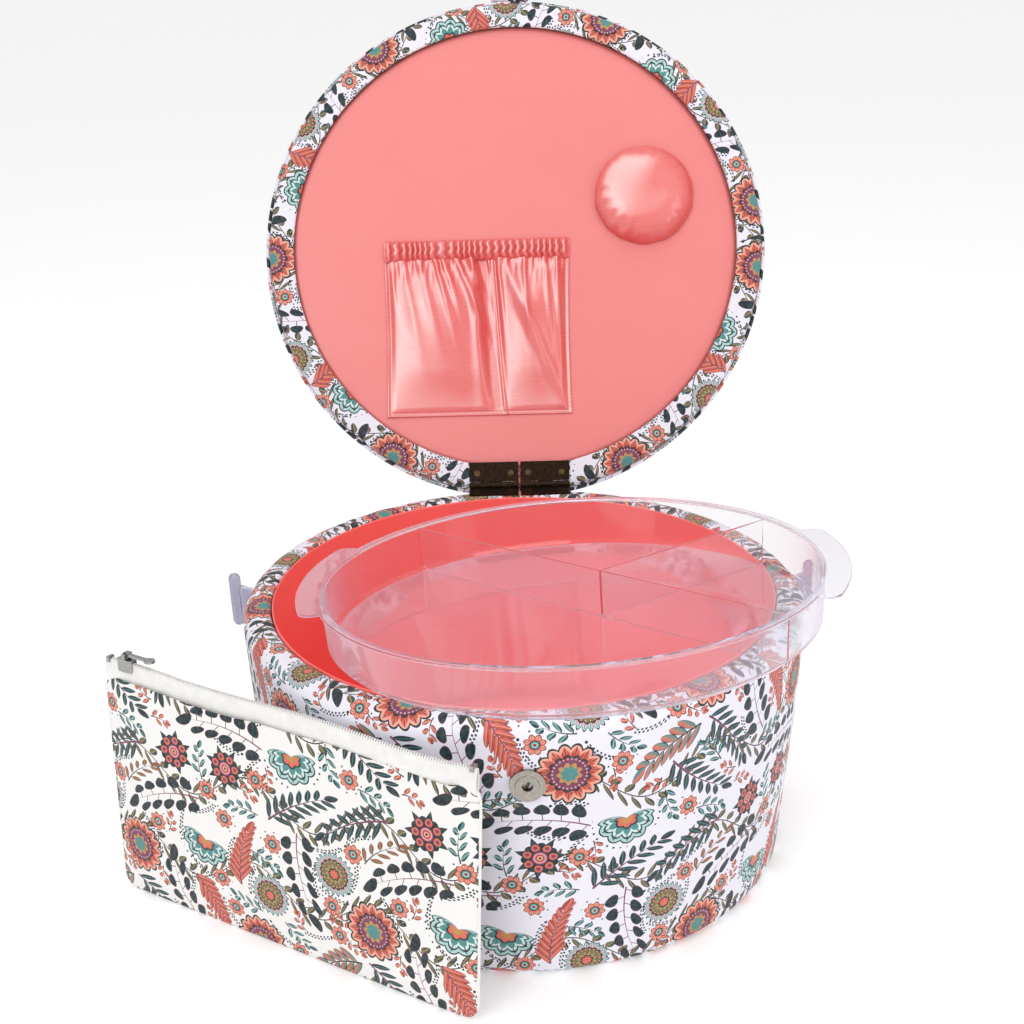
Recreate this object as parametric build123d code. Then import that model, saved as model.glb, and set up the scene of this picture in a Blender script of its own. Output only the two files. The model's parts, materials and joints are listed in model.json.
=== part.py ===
from build123d import *

import math
import os

# A round padded sewing basket with a hinged lid, a clear sorting tray and a matching zip pouch.
# Millimetres. Origin: centre of the base, on the surface it stands on.
# +Z is up, -Y is the front with the snap, +Y is the back with the hinges.

# ---------- Driving dimensions ----------

body_radius = 152.0           # over the padded print cover, at the rim
foot_radius = 146.0           # over the cover, just above the bottom edge
body_height = 151.0           # top of the padded rim
opening_radius = 135.2        # inside of the lining
board = 3.0                   # fibreboard of the base, hoop and lid
gap = 0.2                     # room between sewn layers

rim_round = 9.0               # outer rounding of the padded rim
rim_tuck_round = 3.0          # inner rounding of the rim, next to the lining
bottom_round = 6.0
turned_under = 14.0           # width of cover turned under the base

lid_radius = 156.8
lid_gap = 2.0                 # the two hinge leaves fill this when the lid is shut
lid_depth = 17.0              # lip to the edge of the padded top
lid_crown = 4.0               # extra height of the padding at the middle
lid_lip_inner = 141.0
lid_open_angle = 120.0        # from shut, to where the hinge stops it

hinge_y = 152.6
hinge_z = body_height + lid_gap / 2
hinge_width = 31.0
hinge_spacing = 32.4          # centre to centre of the pair
leaf = 0.8
leaf_inner_y = 137.5
knuckle_radius = 2.3
pin_radius = 1.0
running = 0.05                # radial clearance of a hinge pin
rivet_y = 144.5
rivet_half_spacing = 10.6
rivet_radius = 0.9

snap_z = 119.2
snap_radius = 8.6
snap_depth = 2.4

post_z = 135.8
post_angle = 9.1              # behind the side of the basket, so a carrying handle clears the lid
post_bar_length = 32.0
post_bar_radius = 3.35
post_bar_at = 164.3           # distance of the bar from the basket's axis

tray_rim_radius = 129.7
tray_floor_radius = 127.4
tray_depth = 27.3
tray_wall = 1.4
tray_ear = 11.2               # how far an ear stands out past the rim
tray_ear_half_angle = 23.0
tray_turn = -5.4              # how the tray is turned about its own axis
tray_centre = (24.2, -40.7, 178.6)
tray_tilt = 5.96              # front right up, because that side lies over the rim
tray_tilt_heading = -60.8     # heading of the raised side, from +X

pouch_width = 233.0
pouch_height = 130.0          # cloth only, up to the zip
pouch_corner = (-227.0, -60.4, 0.0)
pouch_heading = -31.4
pouch_lean = 4.5              # back against the basket
pouch_panel = 2.6             # thickness of the lined cloth on each side of the empty pouch
pouch_corner_round = 7.0
zip_start = 6.0
zip_end = 227.0

pocket_centre_x = -24.3
pocket_width = 118.0
pocket_mouth_y = -5.0
pocket_bottom_y = 107.0
elastic_width = 12.0
pincushion_centre = (83.0, -31.0)
pincushion_radius = 32.5
pincushion_height = 13.0

tab_width = 24.0
tab_length = 52.0
tab_thickness = 2.0

# ---------- Sizes that follow ----------

board_inner = opening_radius + 3.3
board_outer = board_inner + board
board_top = body_height - 7.0
base_board_z = 2.4
wall_board_z = base_board_z + board + gap
lining_outer = opening_radius + 1.0
lip_z = body_height + lid_gap
ring_z = lip_z + 1.7
lid_board_z = ring_z + 3.5
lid_board_radius = lid_radius - 6.8
hinge_axis = Axis((0, hinge_y, hinge_z), (1, 0, 0))
tab_fold = (0, -(lid_radius + 4.6), lip_z + 5.0)
tab_swing = 208.0             # from lying over the open lid's edge to the snap of the shut one
tab_lean = 4.5                # inward lean of the fastened tab


def wall_outer(z):
    """Outer radius of the padded wall at a height on its straight part."""
    share = (z - bottom_round) / (body_height - rim_round - bottom_round)
    return foot_radius + (body_radius - foot_radius) * share


# ---------- Helpers ----------

def turned(*edges):
    """A solid of revolution about +Z from a closed outline in the XZ plane."""
    outline = Wire(list(edges))
    return revolve(make_face(outline), Axis.Z, 360)


def outline_of(*points):
    """Straight edges through (radius, height) points, closed back to the first."""
    corners = [(r, 0, z) for r, z in points]
    return Polyline(*corners, close=True).edges()


def ring(inner, outer, z_low, z_high):
    return turned(*outline_of((inner, z_low), (outer, z_low), (outer, z_high), (inner, z_high)))


def disc(radius, z_low, z_high):
    return Pos(0, 0, (z_low + z_high) / 2) * Cylinder(radius, z_high - z_low)


def block(low, high):
    size = [b - a for a, b in zip(low, high)]
    middle = [(a + b) / 2 for a, b in zip(low, high)]
    return Pos(*middle) * Box(*size)


def rod_x(radius, x_low, x_high, y, z):
    return Pos((x_low + x_high) / 2, y, z) * Rot(0, 90, 0) * Cylinder(radius, x_high - x_low)


def rod_y(radius, y_low, y_high, x, z):
    return Pos(x, (y_low + y_high) / 2, z) * Rot(90, 0, 0) * Cylinder(radius, y_high - y_low)


def rod_z(radius, z_low, z_high, x, y):
    return Pos(x, y, (z_low + z_high) / 2) * Cylinder(radius, z_high - z_low)


def opened(solid):
    """Swing a lid piece from shut to fully open, front edge up and back."""
    return solid.rotate(hinge_axis, -lid_open_angle)


def save(name, *solids):
    shape = solids[0] if len(solids) == 1 else Compound(children=list(solids))
    shape.label = name
    export_step(shape, f"parts/{name}.step")


# ---------- Positions shared by holes and the pieces in them ----------

hinge_centres = [-hinge_spacing / 2, hinge_spacing / 2]
rivet_xs = [c + side * rivet_half_spacing for c in hinge_centres for side in (-1, 1)]
prong_xs = [-4.0, 4.0]
post_sides = {"right": post_angle, "left": 180 - post_angle}


def at_post(angle, solid):
    """Place a solid built along +X at the height and heading of a handle post."""
    return Rot(0, 0, angle) * Pos(0, 0, post_z) * solid


def radial_rod(radius, near, far):
    return Pos((near + far) / 2, 0, 0) * Rot(0, 90, 0) * Cylinder(radius, far - near)


def prong_bars(half_width, half_height, y_front, y_back):
    bars = [block((x - half_width, y_front, snap_z - half_height),
                  (x + half_width, y_back, snap_z + half_height)) for x in prong_xs]
    return bars


# ---------- Basket body ----------

def make_body_cover():
    """Padded print cover: wall, rounded rim and the edge turned under the base."""
    straight_top = body_height - rim_round
    inner = lining_outer + 0.4
    diagonal = math.sqrt(0.5)
    rim_arc = ThreePointArc(
        (body_radius, 0, straight_top),
        (body_radius - rim_round * (1 - diagonal), 0, straight_top + rim_round * diagonal),
        (body_radius - rim_round, 0, body_height))
    tuck_arc = ThreePointArc(
        (inner + rim_tuck_round, 0, body_height),
        (inner + rim_tuck_round * (1 - diagonal), 0, body_height - rim_tuck_round * (1 - diagonal)),
        (inner, 0, body_height - rim_tuck_round))
    bottom_arc = ThreePointArc(
        (foot_radius - bottom_round, 0, 0),
        (foot_radius - bottom_round * (1 - diagonal), 0, bottom_round * (1 - diagonal)),
        (foot_radius, 0, bottom_round))
    board_gap = board_outer + 0.5
    inside = Polyline(
        (inner, 0, body_height - rim_tuck_round), (inner, 0, board_top + 1),
        (board_gap, 0, board_top + 1), (board_gap, 0, base_board_z - gap),
        (foot_radius - turned_under, 0, base_board_z - gap), (foot_radius - turned_under, 0, 0))
    cover = turned(
        *inside.edges(),
        Line((foot_radius - turned_under, 0, 0), (foot_radius - bottom_round, 0, 0)),
        bottom_arc,
        Line((foot_radius, 0, bottom_round), (body_radius, 0, straight_top)),
        rim_arc,
        Line((body_radius - rim_round, 0, body_height), (inner + rim_tuck_round, 0, body_height)),
        tuck_arc)
    for x in rivet_xs:
        cover -= rod_z(rivet_radius + 0.1, board_top + 1.5, body_height + 1, x, rivet_y)
    for bar in prong_bars(1.4, 0.7, -body_radius - 1, -board_inner):
        cover -= bar
    for angle in post_sides.values():
        cover -= at_post(angle, radial_rod(3.0, board_inner, body_radius + 1))
    return cover


def make_wall_board():
    hoop = ring(board_inner, board_outer, wall_board_z, board_top)
    for bar in prong_bars(1.4, 0.7, -body_radius, -board_inner + 2):
        hoop -= bar
    for angle in post_sides.values():
        hoop -= at_post(angle, radial_rod(1.3, board_inner - 2, board_outer + 2))
    return hoop


# ---------- Handle posts ----------

def make_handle_post():
    """Clear T-shaped post along +X: wall flange, web and the upright bar a handle clips over."""
    wall = wall_outer(post_z) + 0.4
    flange = radial_rod(7.0, wall, wall + 1.6)
    shank = radial_rod(2.6, board_outer + 0.3, wall + 0.5)
    half_bar = post_bar_length / 2 - post_bar_radius
    bar = Pos(post_bar_at, 0, 0) * Cylinder(post_bar_radius, 2 * half_bar)
    for end in (-half_bar, half_bar):
        bar += Pos(post_bar_at, 0, end) * Sphere(post_bar_radius)
    web_outline = Polyline(
        (wall + 1, 0, -6.0), (post_bar_at, 0, -9.0), (post_bar_at, 0, 9.0), (wall + 1, 0, 6.0), close=True)
    web = extrude(make_face(web_outline), 1.9, both=True)
    screw_hole = radial_rod(1.0, board_outer, wall + 1)
    return flange + shank + bar + web - screw_hole


def make_post_screw():
    """Pan-head screw driven from inside the basket, through washer and board into the post."""
    head_back = lining_outer + 0.4
    head = radial_rod(3.4, head_back, head_back + 1.05)
    thread = radial_rod(0.95, head_back + 0.5, wall_outer(post_z) - 1)
    recess = radial_rod(1.0, head_back - 1, head_back + 0.5)
    return head + thread - recess


def make_post_washer():
    outer_face = board_inner - 0.2
    return radial_rod(5.0, outer_face - 0.6, outer_face) - radial_rod(1.2, outer_face - 2, outer_face + 1)


# ---------- Front snap, the socket half ----------

def facing_front(solid, y):
    """Turn a solid built up along +Z so that it faces the front, its base at a given y."""
    return Pos(0, y, snap_z) * Rot(90, 0, 0) * solid


def make_snap_socket():
    """Pressed cup with a stepped face and the hole that the stud enters."""
    depth = snap_depth
    skin = 0.5
    cup = turned(*outline_of(
        (2.7, depth), (2.7, depth - 1.2), (3.2, depth - 1.2), (3.2, depth - skin), (5.4, depth - skin),
        (5.4, depth - skin - 0.5), (snap_radius - skin, depth - skin - 0.5), (snap_radius - skin, 0),
        (snap_radius, 0), (snap_radius, depth - 0.5), (snap_radius - 0.5, depth - 0.4),
        (5.9, depth - 0.4), (5.7, depth)))
    return facing_front(cup, socket_back)


def make_snap_magnet():
    return facing_front(ring(3.5, snap_radius - 0.8, 0.5, snap_depth - 1.1), socket_back)


def make_snap_prong_plate():
    plate = facing_front(ring(2.0, snap_radius - 0.7, -0.05, 0.4), socket_back)
    for bar in prong_bars(1.1, 0.35, socket_back - 0.2, -board_inner + 1.5):
        plate += bar
    return plate


def make_snap_backing():
    """Washer behind the board that the prongs pass through and fold over."""
    washer = facing_front(ring(2.0, snap_radius, 0, 0.6), -(board_inner - 1.0))
    for bar in prong_bars(1.3, 0.55, -board_inner - 1, -board_inner + 3):
        washer -= bar
    return washer


socket_back = -(wall_outer(snap_z + snap_radius) + 0.15)


# ---------- Hinges ----------

def knuckle(x_low, x_high):
    return rod_x(knuckle_radius, x_low, x_high, hinge_y, hinge_z)


def make_leaf(centre, z_low, spans, rivet_holes_through):
    """One leaf: a plate short of the barrel, with a rolled knuckle on each of its spans."""
    half = hinge_width / 2
    plate = block((centre - half, leaf_inner_y, z_low), (centre + half, hinge_y - 2.8, z_low + leaf))
    for start, end in spans:
        plate += block((centre + start, leaf_inner_y + 5, z_low), (centre + end, hinge_y - 1.5, z_low + leaf))
        plate += knuckle(centre + start, centre + end)
    plate -= rod_x(pin_radius + running, centre - half - 1, centre + half + 1, hinge_y, hinge_z)
    for side in (-1, 1):
        x = centre + side * rivet_half_spacing
        plate -= rod_z(rivet_radius + 0.1, z_low - 1, z_low + 2, x, rivet_y)
        plate -= rod_z(2.1, *rivet_holes_through, x, rivet_y)
    return plate


third = hinge_width / 3
outer_spans = [(-hinge_width / 2, -third / 2 - 0.15), (third / 2 + 0.15, hinge_width / 2)]
middle_span = [(-third / 2 + 0.15, third / 2 - 0.15)]
lower_leaf_z = body_height + 0.1
upper_leaf_z = lip_z - 0.1 - leaf


def make_lower_leaf(centre):
    return make_leaf(centre, lower_leaf_z, outer_spans, (lower_leaf_z + 0.4, lower_leaf_z + 2))


def make_upper_leaf(centre):
    return make_leaf(centre, upper_leaf_z, middle_span, (upper_leaf_z - 2, upper_leaf_z + 0.4))


def make_hinge_pin(centre):
    half = hinge_width / 2
    return rod_x(pin_radius, centre - half + 0.2, centre + half - 0.2, hinge_y, hinge_z)


def make_lower_rivet(x):
    head_z = lower_leaf_z + 0.45
    head = rod_z(1.9, head_z, head_z + 0.4, x, rivet_y)
    return head + rod_z(rivet_radius, board_top + 2, head_z + 0.2, x, rivet_y)


def make_upper_rivet(x):
    head_z = upper_leaf_z + 0.35
    head = rod_z(1.9, head_z - 0.4, head_z, x, rivet_y)
    return head + rod_z(rivet_radius, head_z - 0.2, ring_z + 2.8, x, rivet_y)


# ---------- Lid, built shut ----------

def rivet_holes(solid):
    for x in rivet_xs:
        solid -= rod_z(rivet_radius + 0.1, lip_z - 1, ring_z + 3.1, x, rivet_y)
    return solid


def make_lid_cover():
    """Padded print cover of the lid: crowned top, rounded edge and the lip under the rim."""
    top = lip_z + lid_depth
    low_round = 4.0
    top_round = 8.0
    diagonal = math.sqrt(0.5)
    low_arc = ThreePointArc(
        (lid_radius - low_round, 0, lip_z),
        (lid_radius - low_round * (1 - diagonal), 0, lip_z + low_round * (1 - diagonal)),
        (lid_radius, 0, lip_z + low_round))
    top_arc = ThreePointArc(
        (lid_radius, 0, top - top_round),
        (lid_radius - top_round * (1 - diagonal), 0, top - top_round * (1 - diagonal)),
        (lid_radius - top_round, 0, top))
    crown = Spline(
        (lid_radius - top_round, 0, top), (0, 0, top + lid_crown),
        tangents=[(-1, 0, 0.15), (-1, 0, 0)])
    cover = turned(
        Line((0, 0, lip_z), (lid_radius - low_round, 0, lip_z)), low_arc,
        Line((lid_radius, 0, lip_z + low_round), (lid_radius, 0, top - top_round)),
        top_arc, crown,
        Line((0, 0, top + lid_crown), (0, 0, lip_z)))
    cover -= disc(lid_lip_inner, lip_z - 1, lid_board_z)
    cover -= disc(lid_board_radius + 0.4, lip_z + 1.5, lid_board_z + board + 0.3)
    notch_half = hinge_spacing / 2 + hinge_width / 2 + 1
    cover -= block((-notch_half, hinge_y - 3.2, lip_z - 1), (notch_half, lid_radius + 2, hinge_z + 3.2))
    return rivet_holes(cover)


def make_lid_piping():
    """Corded edge sewn around the widest part of the lid."""
    cord = Torus(lid_radius + 1.4, 1.2)
    return Pos(0, 0, lip_z + 6.0) * cord


def make_lid_ring():
    return rivet_holes(ring(lid_lip_inner + 1, lid_board_radius, ring_z, lid_board_z - gap))


def make_pocket():
    """Gathered two-part pocket on the lid's lining, as the space that its cloth fills."""
    low = (pocket_centre_x - pocket_width / 2, pocket_mouth_y + elastic_width + gap, lining_face - 4.0)
    high = (pocket_centre_x + pocket_width / 2, pocket_bottom_y, lining_face - gap)
    cloth = block(low, high)
    return fillet(cloth.edges().group_by(Axis.Z)[0], 2.0)


def make_pocket_elastic():
    low = (pocket_centre_x - pocket_width / 2, pocket_mouth_y, lining_face - 4.6)
    high = (pocket_centre_x + pocket_width / 2, pocket_mouth_y + elastic_width, lining_face - gap)
    return fillet(block(low, high).edges().filter_by(Axis.X), 1.5)


def make_pincushion():
    top = lining_face - gap
    pad = disc(pincushion_radius, top - pincushion_height, top)
    pad = fillet(pad.edges().group_by(Axis.Z)[0], 8.0)
    pad = fillet(pad.edges().group_by(Axis.Z)[-1], 3.0)
    return Pos(*pincushion_centre, 0) * pad


lining_face = lid_board_z - gap - 1.6


# ---------- Closure tab, built fastened over the front of the shut lid ----------

def tab_frame(solid):
    """Place a solid built hanging down from the origin, outside face towards -Y."""
    return Pos(*tab_fold) * Rot(tab_lean, 0, 0) * solid


def folded_back(solid):
    """Swing a tab piece from fastened to hanging behind the open lid."""
    return opened(solid.rotate(Axis(tab_fold, (1, 0, 0)), -tab_swing))


def make_closure_tab():
    half = tab_width / 2
    strap = block((-half, -tab_thickness / 2, half - tab_length), (half, tab_thickness / 2, 0))
    strap += rod_x(tab_thickness / 2, -half, half, 0, 0)
    strap += rod_y(half, -tab_thickness / 2, tab_thickness / 2, 0, half - tab_length)
    return tab_frame(strap)


def make_tab_snap():
    """Stud half of the snap, on the tab's inner face."""
    drop = snap_z - tab_fold[2]
    plate = Pos(0, tab_thickness / 2 + 0.9, drop) * Rot(90, 0, 0) * Cylinder(7.6, 1.4)
    stud = Pos(0, tab_thickness / 2 + 1.9, drop) * Rot(90, 0, 0) * Cylinder(2.3, 1.8)
    return tab_frame(plate + stud)


# ---------- Tray ----------

def tray_divider(start, end, height):
    """Upright plate between two points of the tray floor."""
    dx = end[0] - start[0]
    dy = end[1] - start[1]
    middle = ((start[0] + end[0]) / 2, (start[1] + end[1]) / 2)
    heading = math.degrees(math.atan2(dy, dx))
    plate = Box(math.hypot(dx, dy), tray_wall, height)
    plate = fillet(plate.edges().group_by(Axis.Z)[-1].filter_by(Axis.X), 0.5)
    return Pos(*middle, height / 2 - tray_depth + 0.2) * Rot(0, 0, heading) * plate


def on_circle(radius, angle):
    return (radius * math.cos(math.radians(angle)), radius * math.sin(math.radians(angle)))


def make_tray():
    """Round clear tray with two finger ears and three compartments, rim plane at z = 0."""
    foot = 3.0
    lip = 1.5
    section = make_face(Wire(outline_of(
        (0, -tray_depth), (tray_floor_radius - foot, -tray_depth),
        (tray_floor_radius, -tray_depth + foot), (tray_rim_radius - lip, -tray_wall),
        (tray_rim_radius + lip, -tray_wall), (tray_rim_radius + lip, 0),
        (tray_rim_radius - lip - tray_wall, 0), (tray_floor_radius - tray_wall, -tray_depth + foot + 0.6),
        (tray_floor_radius - foot - 0.6, -tray_depth + tray_wall), (0, -tray_depth + tray_wall))))
    section = fillet([v for v in section.vertices() if v.X > 1], 0.5)
    tray = revolve(section, Axis.Z, 360)
    for heading in (0, 180):
        reach = tray_rim_radius + tray_ear
        ear_arc = CenterArc((0, 0, 0), reach, heading - tray_ear_half_angle, 2 * tray_ear_half_angle)
        root_arc = CenterArc((0, 0, 0), tray_rim_radius, heading - tray_ear_half_angle, 2 * tray_ear_half_angle)
        sides = [Line(root_arc @ t, ear_arc @ t) for t in (0, 1)]
        ear = extrude(make_face(Wire([ear_arc, root_arc, *sides])), -1.4)
        ear = fillet([e for e in ear.edges().filter_by(Axis.Z)
                      if math.hypot(*tuple(e.center())[:2]) > reach - 1], 7.0)
        ear = fillet(ear.faces().sort_by(lambda f: math.hypot(*tuple(f.center())[:2]))[-1].edges(), 0.4)
        tray += ear
    inside = tray_floor_radius - 0.6
    back_left = on_circle(inside, 136.4)
    front_right = on_circle(inside, -34.3)
    junction = (back_left[0] * 0.455 + front_right[0] * 0.545, back_left[1] * 0.455 + front_right[1] * 0.545)
    height = tray_depth - 1.2
    tray += tray_divider(back_left, front_right, height)
    tray += tray_divider(junction, on_circle(inside, 36.5), height)
    tilt_axis = Axis((0, 0, 0), (math.cos(math.radians(tray_tilt_heading - 90)),
                                 math.sin(math.radians(tray_tilt_heading - 90)), 0))
    tray = tray.rotate(Axis.Z, tray_turn).rotate(tilt_axis, tray_tilt)
    return Pos(*tray_centre) * tray


# ---------- Zip pouch, built in its own upright frame ----------

def at_pouch(solid):
    """From the pouch's frame (X along its foot, Y towards the basket, Z up) to the row's frame."""
    return Pos(*pouch_corner) * Rot(0, 0, pouch_heading) * Rot(-pouch_lean, 0, 0) * solid


foot_gap = 0.6                # keeps the leaning panels' lower edges off the table


def make_pouch_panel(y_low):
    panel = block((0, y_low, foot_gap), (pouch_width, y_low + pouch_panel, pouch_height))
    return at_pouch(fillet(panel.edges().filter_by(Axis.Y), pouch_corner_round))


zip_y = pouch_panel + gap
zip_z = pouch_height + 8.0


def make_zip_tape(side):
    near = 0.4 if side > 0 else -1.4
    return at_pouch(block((zip_start - 4, zip_y + near, pouch_height + 0.4),
                          (zip_end + 3, zip_y + near + 1.0, zip_z)))


def make_zip_coil():
    coil = rod_x(1.3, zip_start, zip_end, zip_y, zip_z + 1.5)
    return at_pouch(coil)


def make_zip_stop(x):
    return at_pouch(block((x - 1, zip_y - 2.0, zip_z + 0.1), (x + 1, zip_y + 2.0, zip_z + 3.2)))


slider_x = zip_start + 10.0
slider_half = 5.0
bail_z = zip_z + 6.6


def make_zip_slider():
    """Saddle over the coil, open below for the two tapes, with a bail for the pull."""
    body = block((slider_x - slider_half, zip_y - 2.8, zip_z - 2.5), (slider_x + slider_half, zip_y + 2.8, zip_z + 4.4))
    body = fillet(body.edges().filter_by(Axis.Z), 1.5)
    body -= block((slider_x - 9, zip_y - 1.9, zip_z - 3), (slider_x + 9, zip_y + 1.9, zip_z + 3.3))
    for side in (-1, 1):
        y = zip_y + side * 2.2
        body += block((slider_x - 1.2, y - 0.6, zip_z + 4.2), (slider_x + 1.2, y + 0.6, bail_z + 0.9))
    body += rod_y(0.7, zip_y - 2.2, zip_y + 2.2, slider_x, bail_z)
    return at_pouch(body)


def make_zip_pull():
    """Tongue with an eye round the bail, lying along the zip."""
    eye = rod_y(1.7, zip_y - 1.3, zip_y + 1.3, slider_x, bail_z)
    tongue = block((slider_x + 1, zip_y - 1.3, bail_z - 0.6), (slider_x + 15, zip_y + 1.3, bail_z + 0.6))
    tongue += Pos(slider_x + 16, zip_y, bail_z) * Cylinder(3.0, 1.2)
    return at_pouch(eye + tongue - rod_y(0.8, zip_y - 3, zip_y + 3, slider_x, bail_z))


# ---------- Write every piece ----------

os.makedirs("parts", exist_ok=True)

save("base_board", disc(board_outer, base_board_z, base_board_z + board))
save("wall_board", make_wall_board())
save("body_cover", make_body_cover())
save("base_cover", disc(foot_radius - turned_under - 0.4, 0, base_board_z - gap))
save("wall_lining", ring(opening_radius, lining_outer, wall_board_z + gap, body_height - 0.6))
save("floor_pad", disc(opening_radius - 0.4, wall_board_z + gap, wall_board_z + gap + 4.0))

for side, angle in post_sides.items():
    save(f"handle_post_{side}", at_post(angle, make_handle_post()))
save("post_screws", *[at_post(angle, make_post_screw()) for angle in post_sides.values()])
save("post_washers", *[at_post(angle, make_post_washer()) for angle in post_sides.values()])

save("snap_socket", make_snap_socket())
save("snap_magnet", make_snap_magnet())
save("snap_prong_plate", make_snap_prong_plate())
save("snap_backing", make_snap_backing())

for side, centre in zip(("left", "right"), hinge_centres):
    save(f"hinge_lower_leaf_{side}", make_lower_leaf(centre))
    save(f"hinge_upper_leaf_{side}", opened(make_upper_leaf(centre)))
    save(f"hinge_pin_{side}", make_hinge_pin(centre))
save("hinge_lower_rivets", *[make_lower_rivet(x) for x in rivet_xs])
save("hinge_upper_rivets", *[opened(make_upper_rivet(x)) for x in rivet_xs])

save("lid_cover", opened(make_lid_cover()))
save("lid_piping", opened(make_lid_piping()))
save("lid_ring", opened(make_lid_ring()))
save("lid_board", opened(disc(lid_board_radius, lid_board_z, lid_board_z + board)))
save("lid_lining", opened(disc(lid_lip_inner + 0.8, lining_face, lid_board_z - gap)))
save("lid_pocket", opened(make_pocket()))
save("pocket_elastic", opened(make_pocket_elastic()))
save("pincushion", opened(make_pincushion()))

save("closure_tab", folded_back(make_closure_tab()))
save("tab_snap", folded_back(make_tab_snap()))

save("tray", make_tray())

save("pouch_front", make_pouch_panel(0))
save("pouch_back", make_pouch_panel(pouch_panel + 2 * gap))
save("zip_tape_front", make_zip_tape(-1))
save("zip_tape_back", make_zip_tape(1))
save("zip_coil", make_zip_coil())
save("zip_stops", *[make_zip_stop(x) for x in (zip_start - 2, zip_end + 2)])
save("zip_slider", make_zip_slider())
save("zip_pull", make_zip_pull())
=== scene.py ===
import json
import math
import random
from types import SimpleNamespace

import bmesh
import bpy
import numpy as np
from mathutils import Matrix, Vector


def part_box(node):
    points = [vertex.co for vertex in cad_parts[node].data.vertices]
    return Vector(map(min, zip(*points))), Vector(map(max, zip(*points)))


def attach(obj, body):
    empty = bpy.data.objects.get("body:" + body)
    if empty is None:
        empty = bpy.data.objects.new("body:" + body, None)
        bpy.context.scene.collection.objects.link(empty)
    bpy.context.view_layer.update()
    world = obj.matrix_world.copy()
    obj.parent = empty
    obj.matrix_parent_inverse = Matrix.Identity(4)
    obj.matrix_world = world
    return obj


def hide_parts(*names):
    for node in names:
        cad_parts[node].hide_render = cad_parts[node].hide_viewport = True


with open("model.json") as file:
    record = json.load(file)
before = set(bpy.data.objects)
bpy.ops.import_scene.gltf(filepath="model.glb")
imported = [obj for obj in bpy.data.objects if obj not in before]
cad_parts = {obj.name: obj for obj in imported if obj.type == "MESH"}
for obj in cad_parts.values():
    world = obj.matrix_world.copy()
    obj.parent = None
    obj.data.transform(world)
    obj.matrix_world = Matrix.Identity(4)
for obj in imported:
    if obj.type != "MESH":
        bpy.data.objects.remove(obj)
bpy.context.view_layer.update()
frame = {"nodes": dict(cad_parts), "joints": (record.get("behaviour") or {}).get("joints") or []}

MM = 0.001
TAU = 2 * math.pi


# ---------- Places taken from the frame ----------

def joint(name):
    return next(j for j in frame["joints"] if j["name"] == name)


def points_of(node):
    mesh = frame["nodes"][node].data
    co = np.empty(len(mesh.vertices) * 3)
    mesh.vertices.foreach_get("co", co)
    return co.reshape(-1, 3)


def turned_box(node, matrix):
    """Lowest and highest corners of a CAD node after a matrix, such as the one that shuts the lid."""
    m = np.array(matrix)
    co = points_of(node) @ m[:3, :3].T + m[:3, 3]
    return Vector(co.min(0)), Vector(co.max(0))


lid_joint = joint("lid_hinge")
hinge_point = Vector(lid_joint["pos_m"])
open_angle = math.radians(lid_joint["range_deg"][1])
opened = (Matrix.Translation(hinge_point) @ Matrix.Rotation(-open_angle, 4, "X")
          @ Matrix.Translation(-hinge_point))
shut = opened.inverted()

body_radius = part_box("body_cover")[1].x
body_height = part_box("body_cover")[1].z
lining_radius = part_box("wall_lining")[1].x
lining_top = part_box("wall_lining")[1].z
pad_low, pad_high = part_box("floor_pad")
board_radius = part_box("wall_board")[1].x
board_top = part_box("wall_board")[1].z
base_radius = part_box("base_cover")[1].x
base_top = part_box("base_cover")[1].z
cloth_radius = body_radius - 2 * MM

lid_low, lid_high = turned_box("lid_cover", shut)
lid_radius = lid_high.x
lid_board_high = turned_box("lid_board", shut)[1]
panel_low, panel_high = turned_box("lid_lining", shut)
panel_radius = panel_high.x
panel_face = panel_low.z
piping_low, piping_high = turned_box("lid_piping", shut)
pocket_low, pocket_high = turned_box("lid_pocket", shut)
elastic_low, elastic_high = turned_box("pocket_elastic", shut)
cushion_low, cushion_high = turned_box("pincushion", shut)


# ---------- Mesh helpers ----------

def smooth_step(low, high, x):
    t = np.clip((x - low) / (high - low), 0, 1)
    return t * t * (3 - 2 * t)


def ridge(x, width):
    """1 where x is 0, falling away softly on both sides."""
    return np.exp(-(x / width) ** 2)


def ripple(seed, x, y, count, low, high):
    """Soft unevenness in about -1 to 1: sine waves with seeded directions, low to high cycles per unit."""
    chance = random.Random(seed)
    total = np.zeros(np.broadcast(x, y).shape)
    for _ in range(count):
        cycles = chance.uniform(low, high) * TAU
        heading = chance.uniform(0, TAU)
        phase = chance.uniform(0, TAU)
        total += np.sin((x * math.cos(heading) + y * math.sin(heading)) * cycles + phase)
    return total / count


def turns(count, extra=0):
    """Evenly spaced angles once round. One extra brings it back to a full turn."""
    return np.arange(count + extra) / count * TAU


def unit_grid(columns, rows):
    """Shares from 0 to 1 across and down a sheet."""
    return np.meshgrid(np.linspace(0, 1, columns), np.linspace(0, 1, rows), indexing="ij")


def stack(*parts):
    """Points or cloth places from coordinates that broadcast together."""
    return np.stack(np.broadcast_arrays(*parts), -1)


def path(*corners, step=2.4 * MM):
    """Evenly spaced points along straight runs between (a, b) corners, and the distance along them."""
    corners = np.array(corners, float)
    parts = [corners[:1]]
    for start, end in zip(corners[:-1], corners[1:]):
        count = max(1, round(math.dist(start, end) / step))
        t = np.arange(1, count + 1)[:, None] / count
        parts.append(start + (end - start) * t)
    line = np.concatenate(parts)
    along = np.concatenate([[0], np.cumsum(np.hypot(*np.diff(line, axis=0).T))])
    return line, along


def arc(centre, radius, start, end, count=8):
    """Points on an arc, angles in degrees, radius a number or the (a, b) of an ellipse."""
    a, b = radius if isinstance(radius, tuple) else (radius, radius)
    return [(centre[0] + a * math.cos(t), centre[1] + b * math.sin(t))
            for t in np.radians(np.linspace(start, end, count))]


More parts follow.
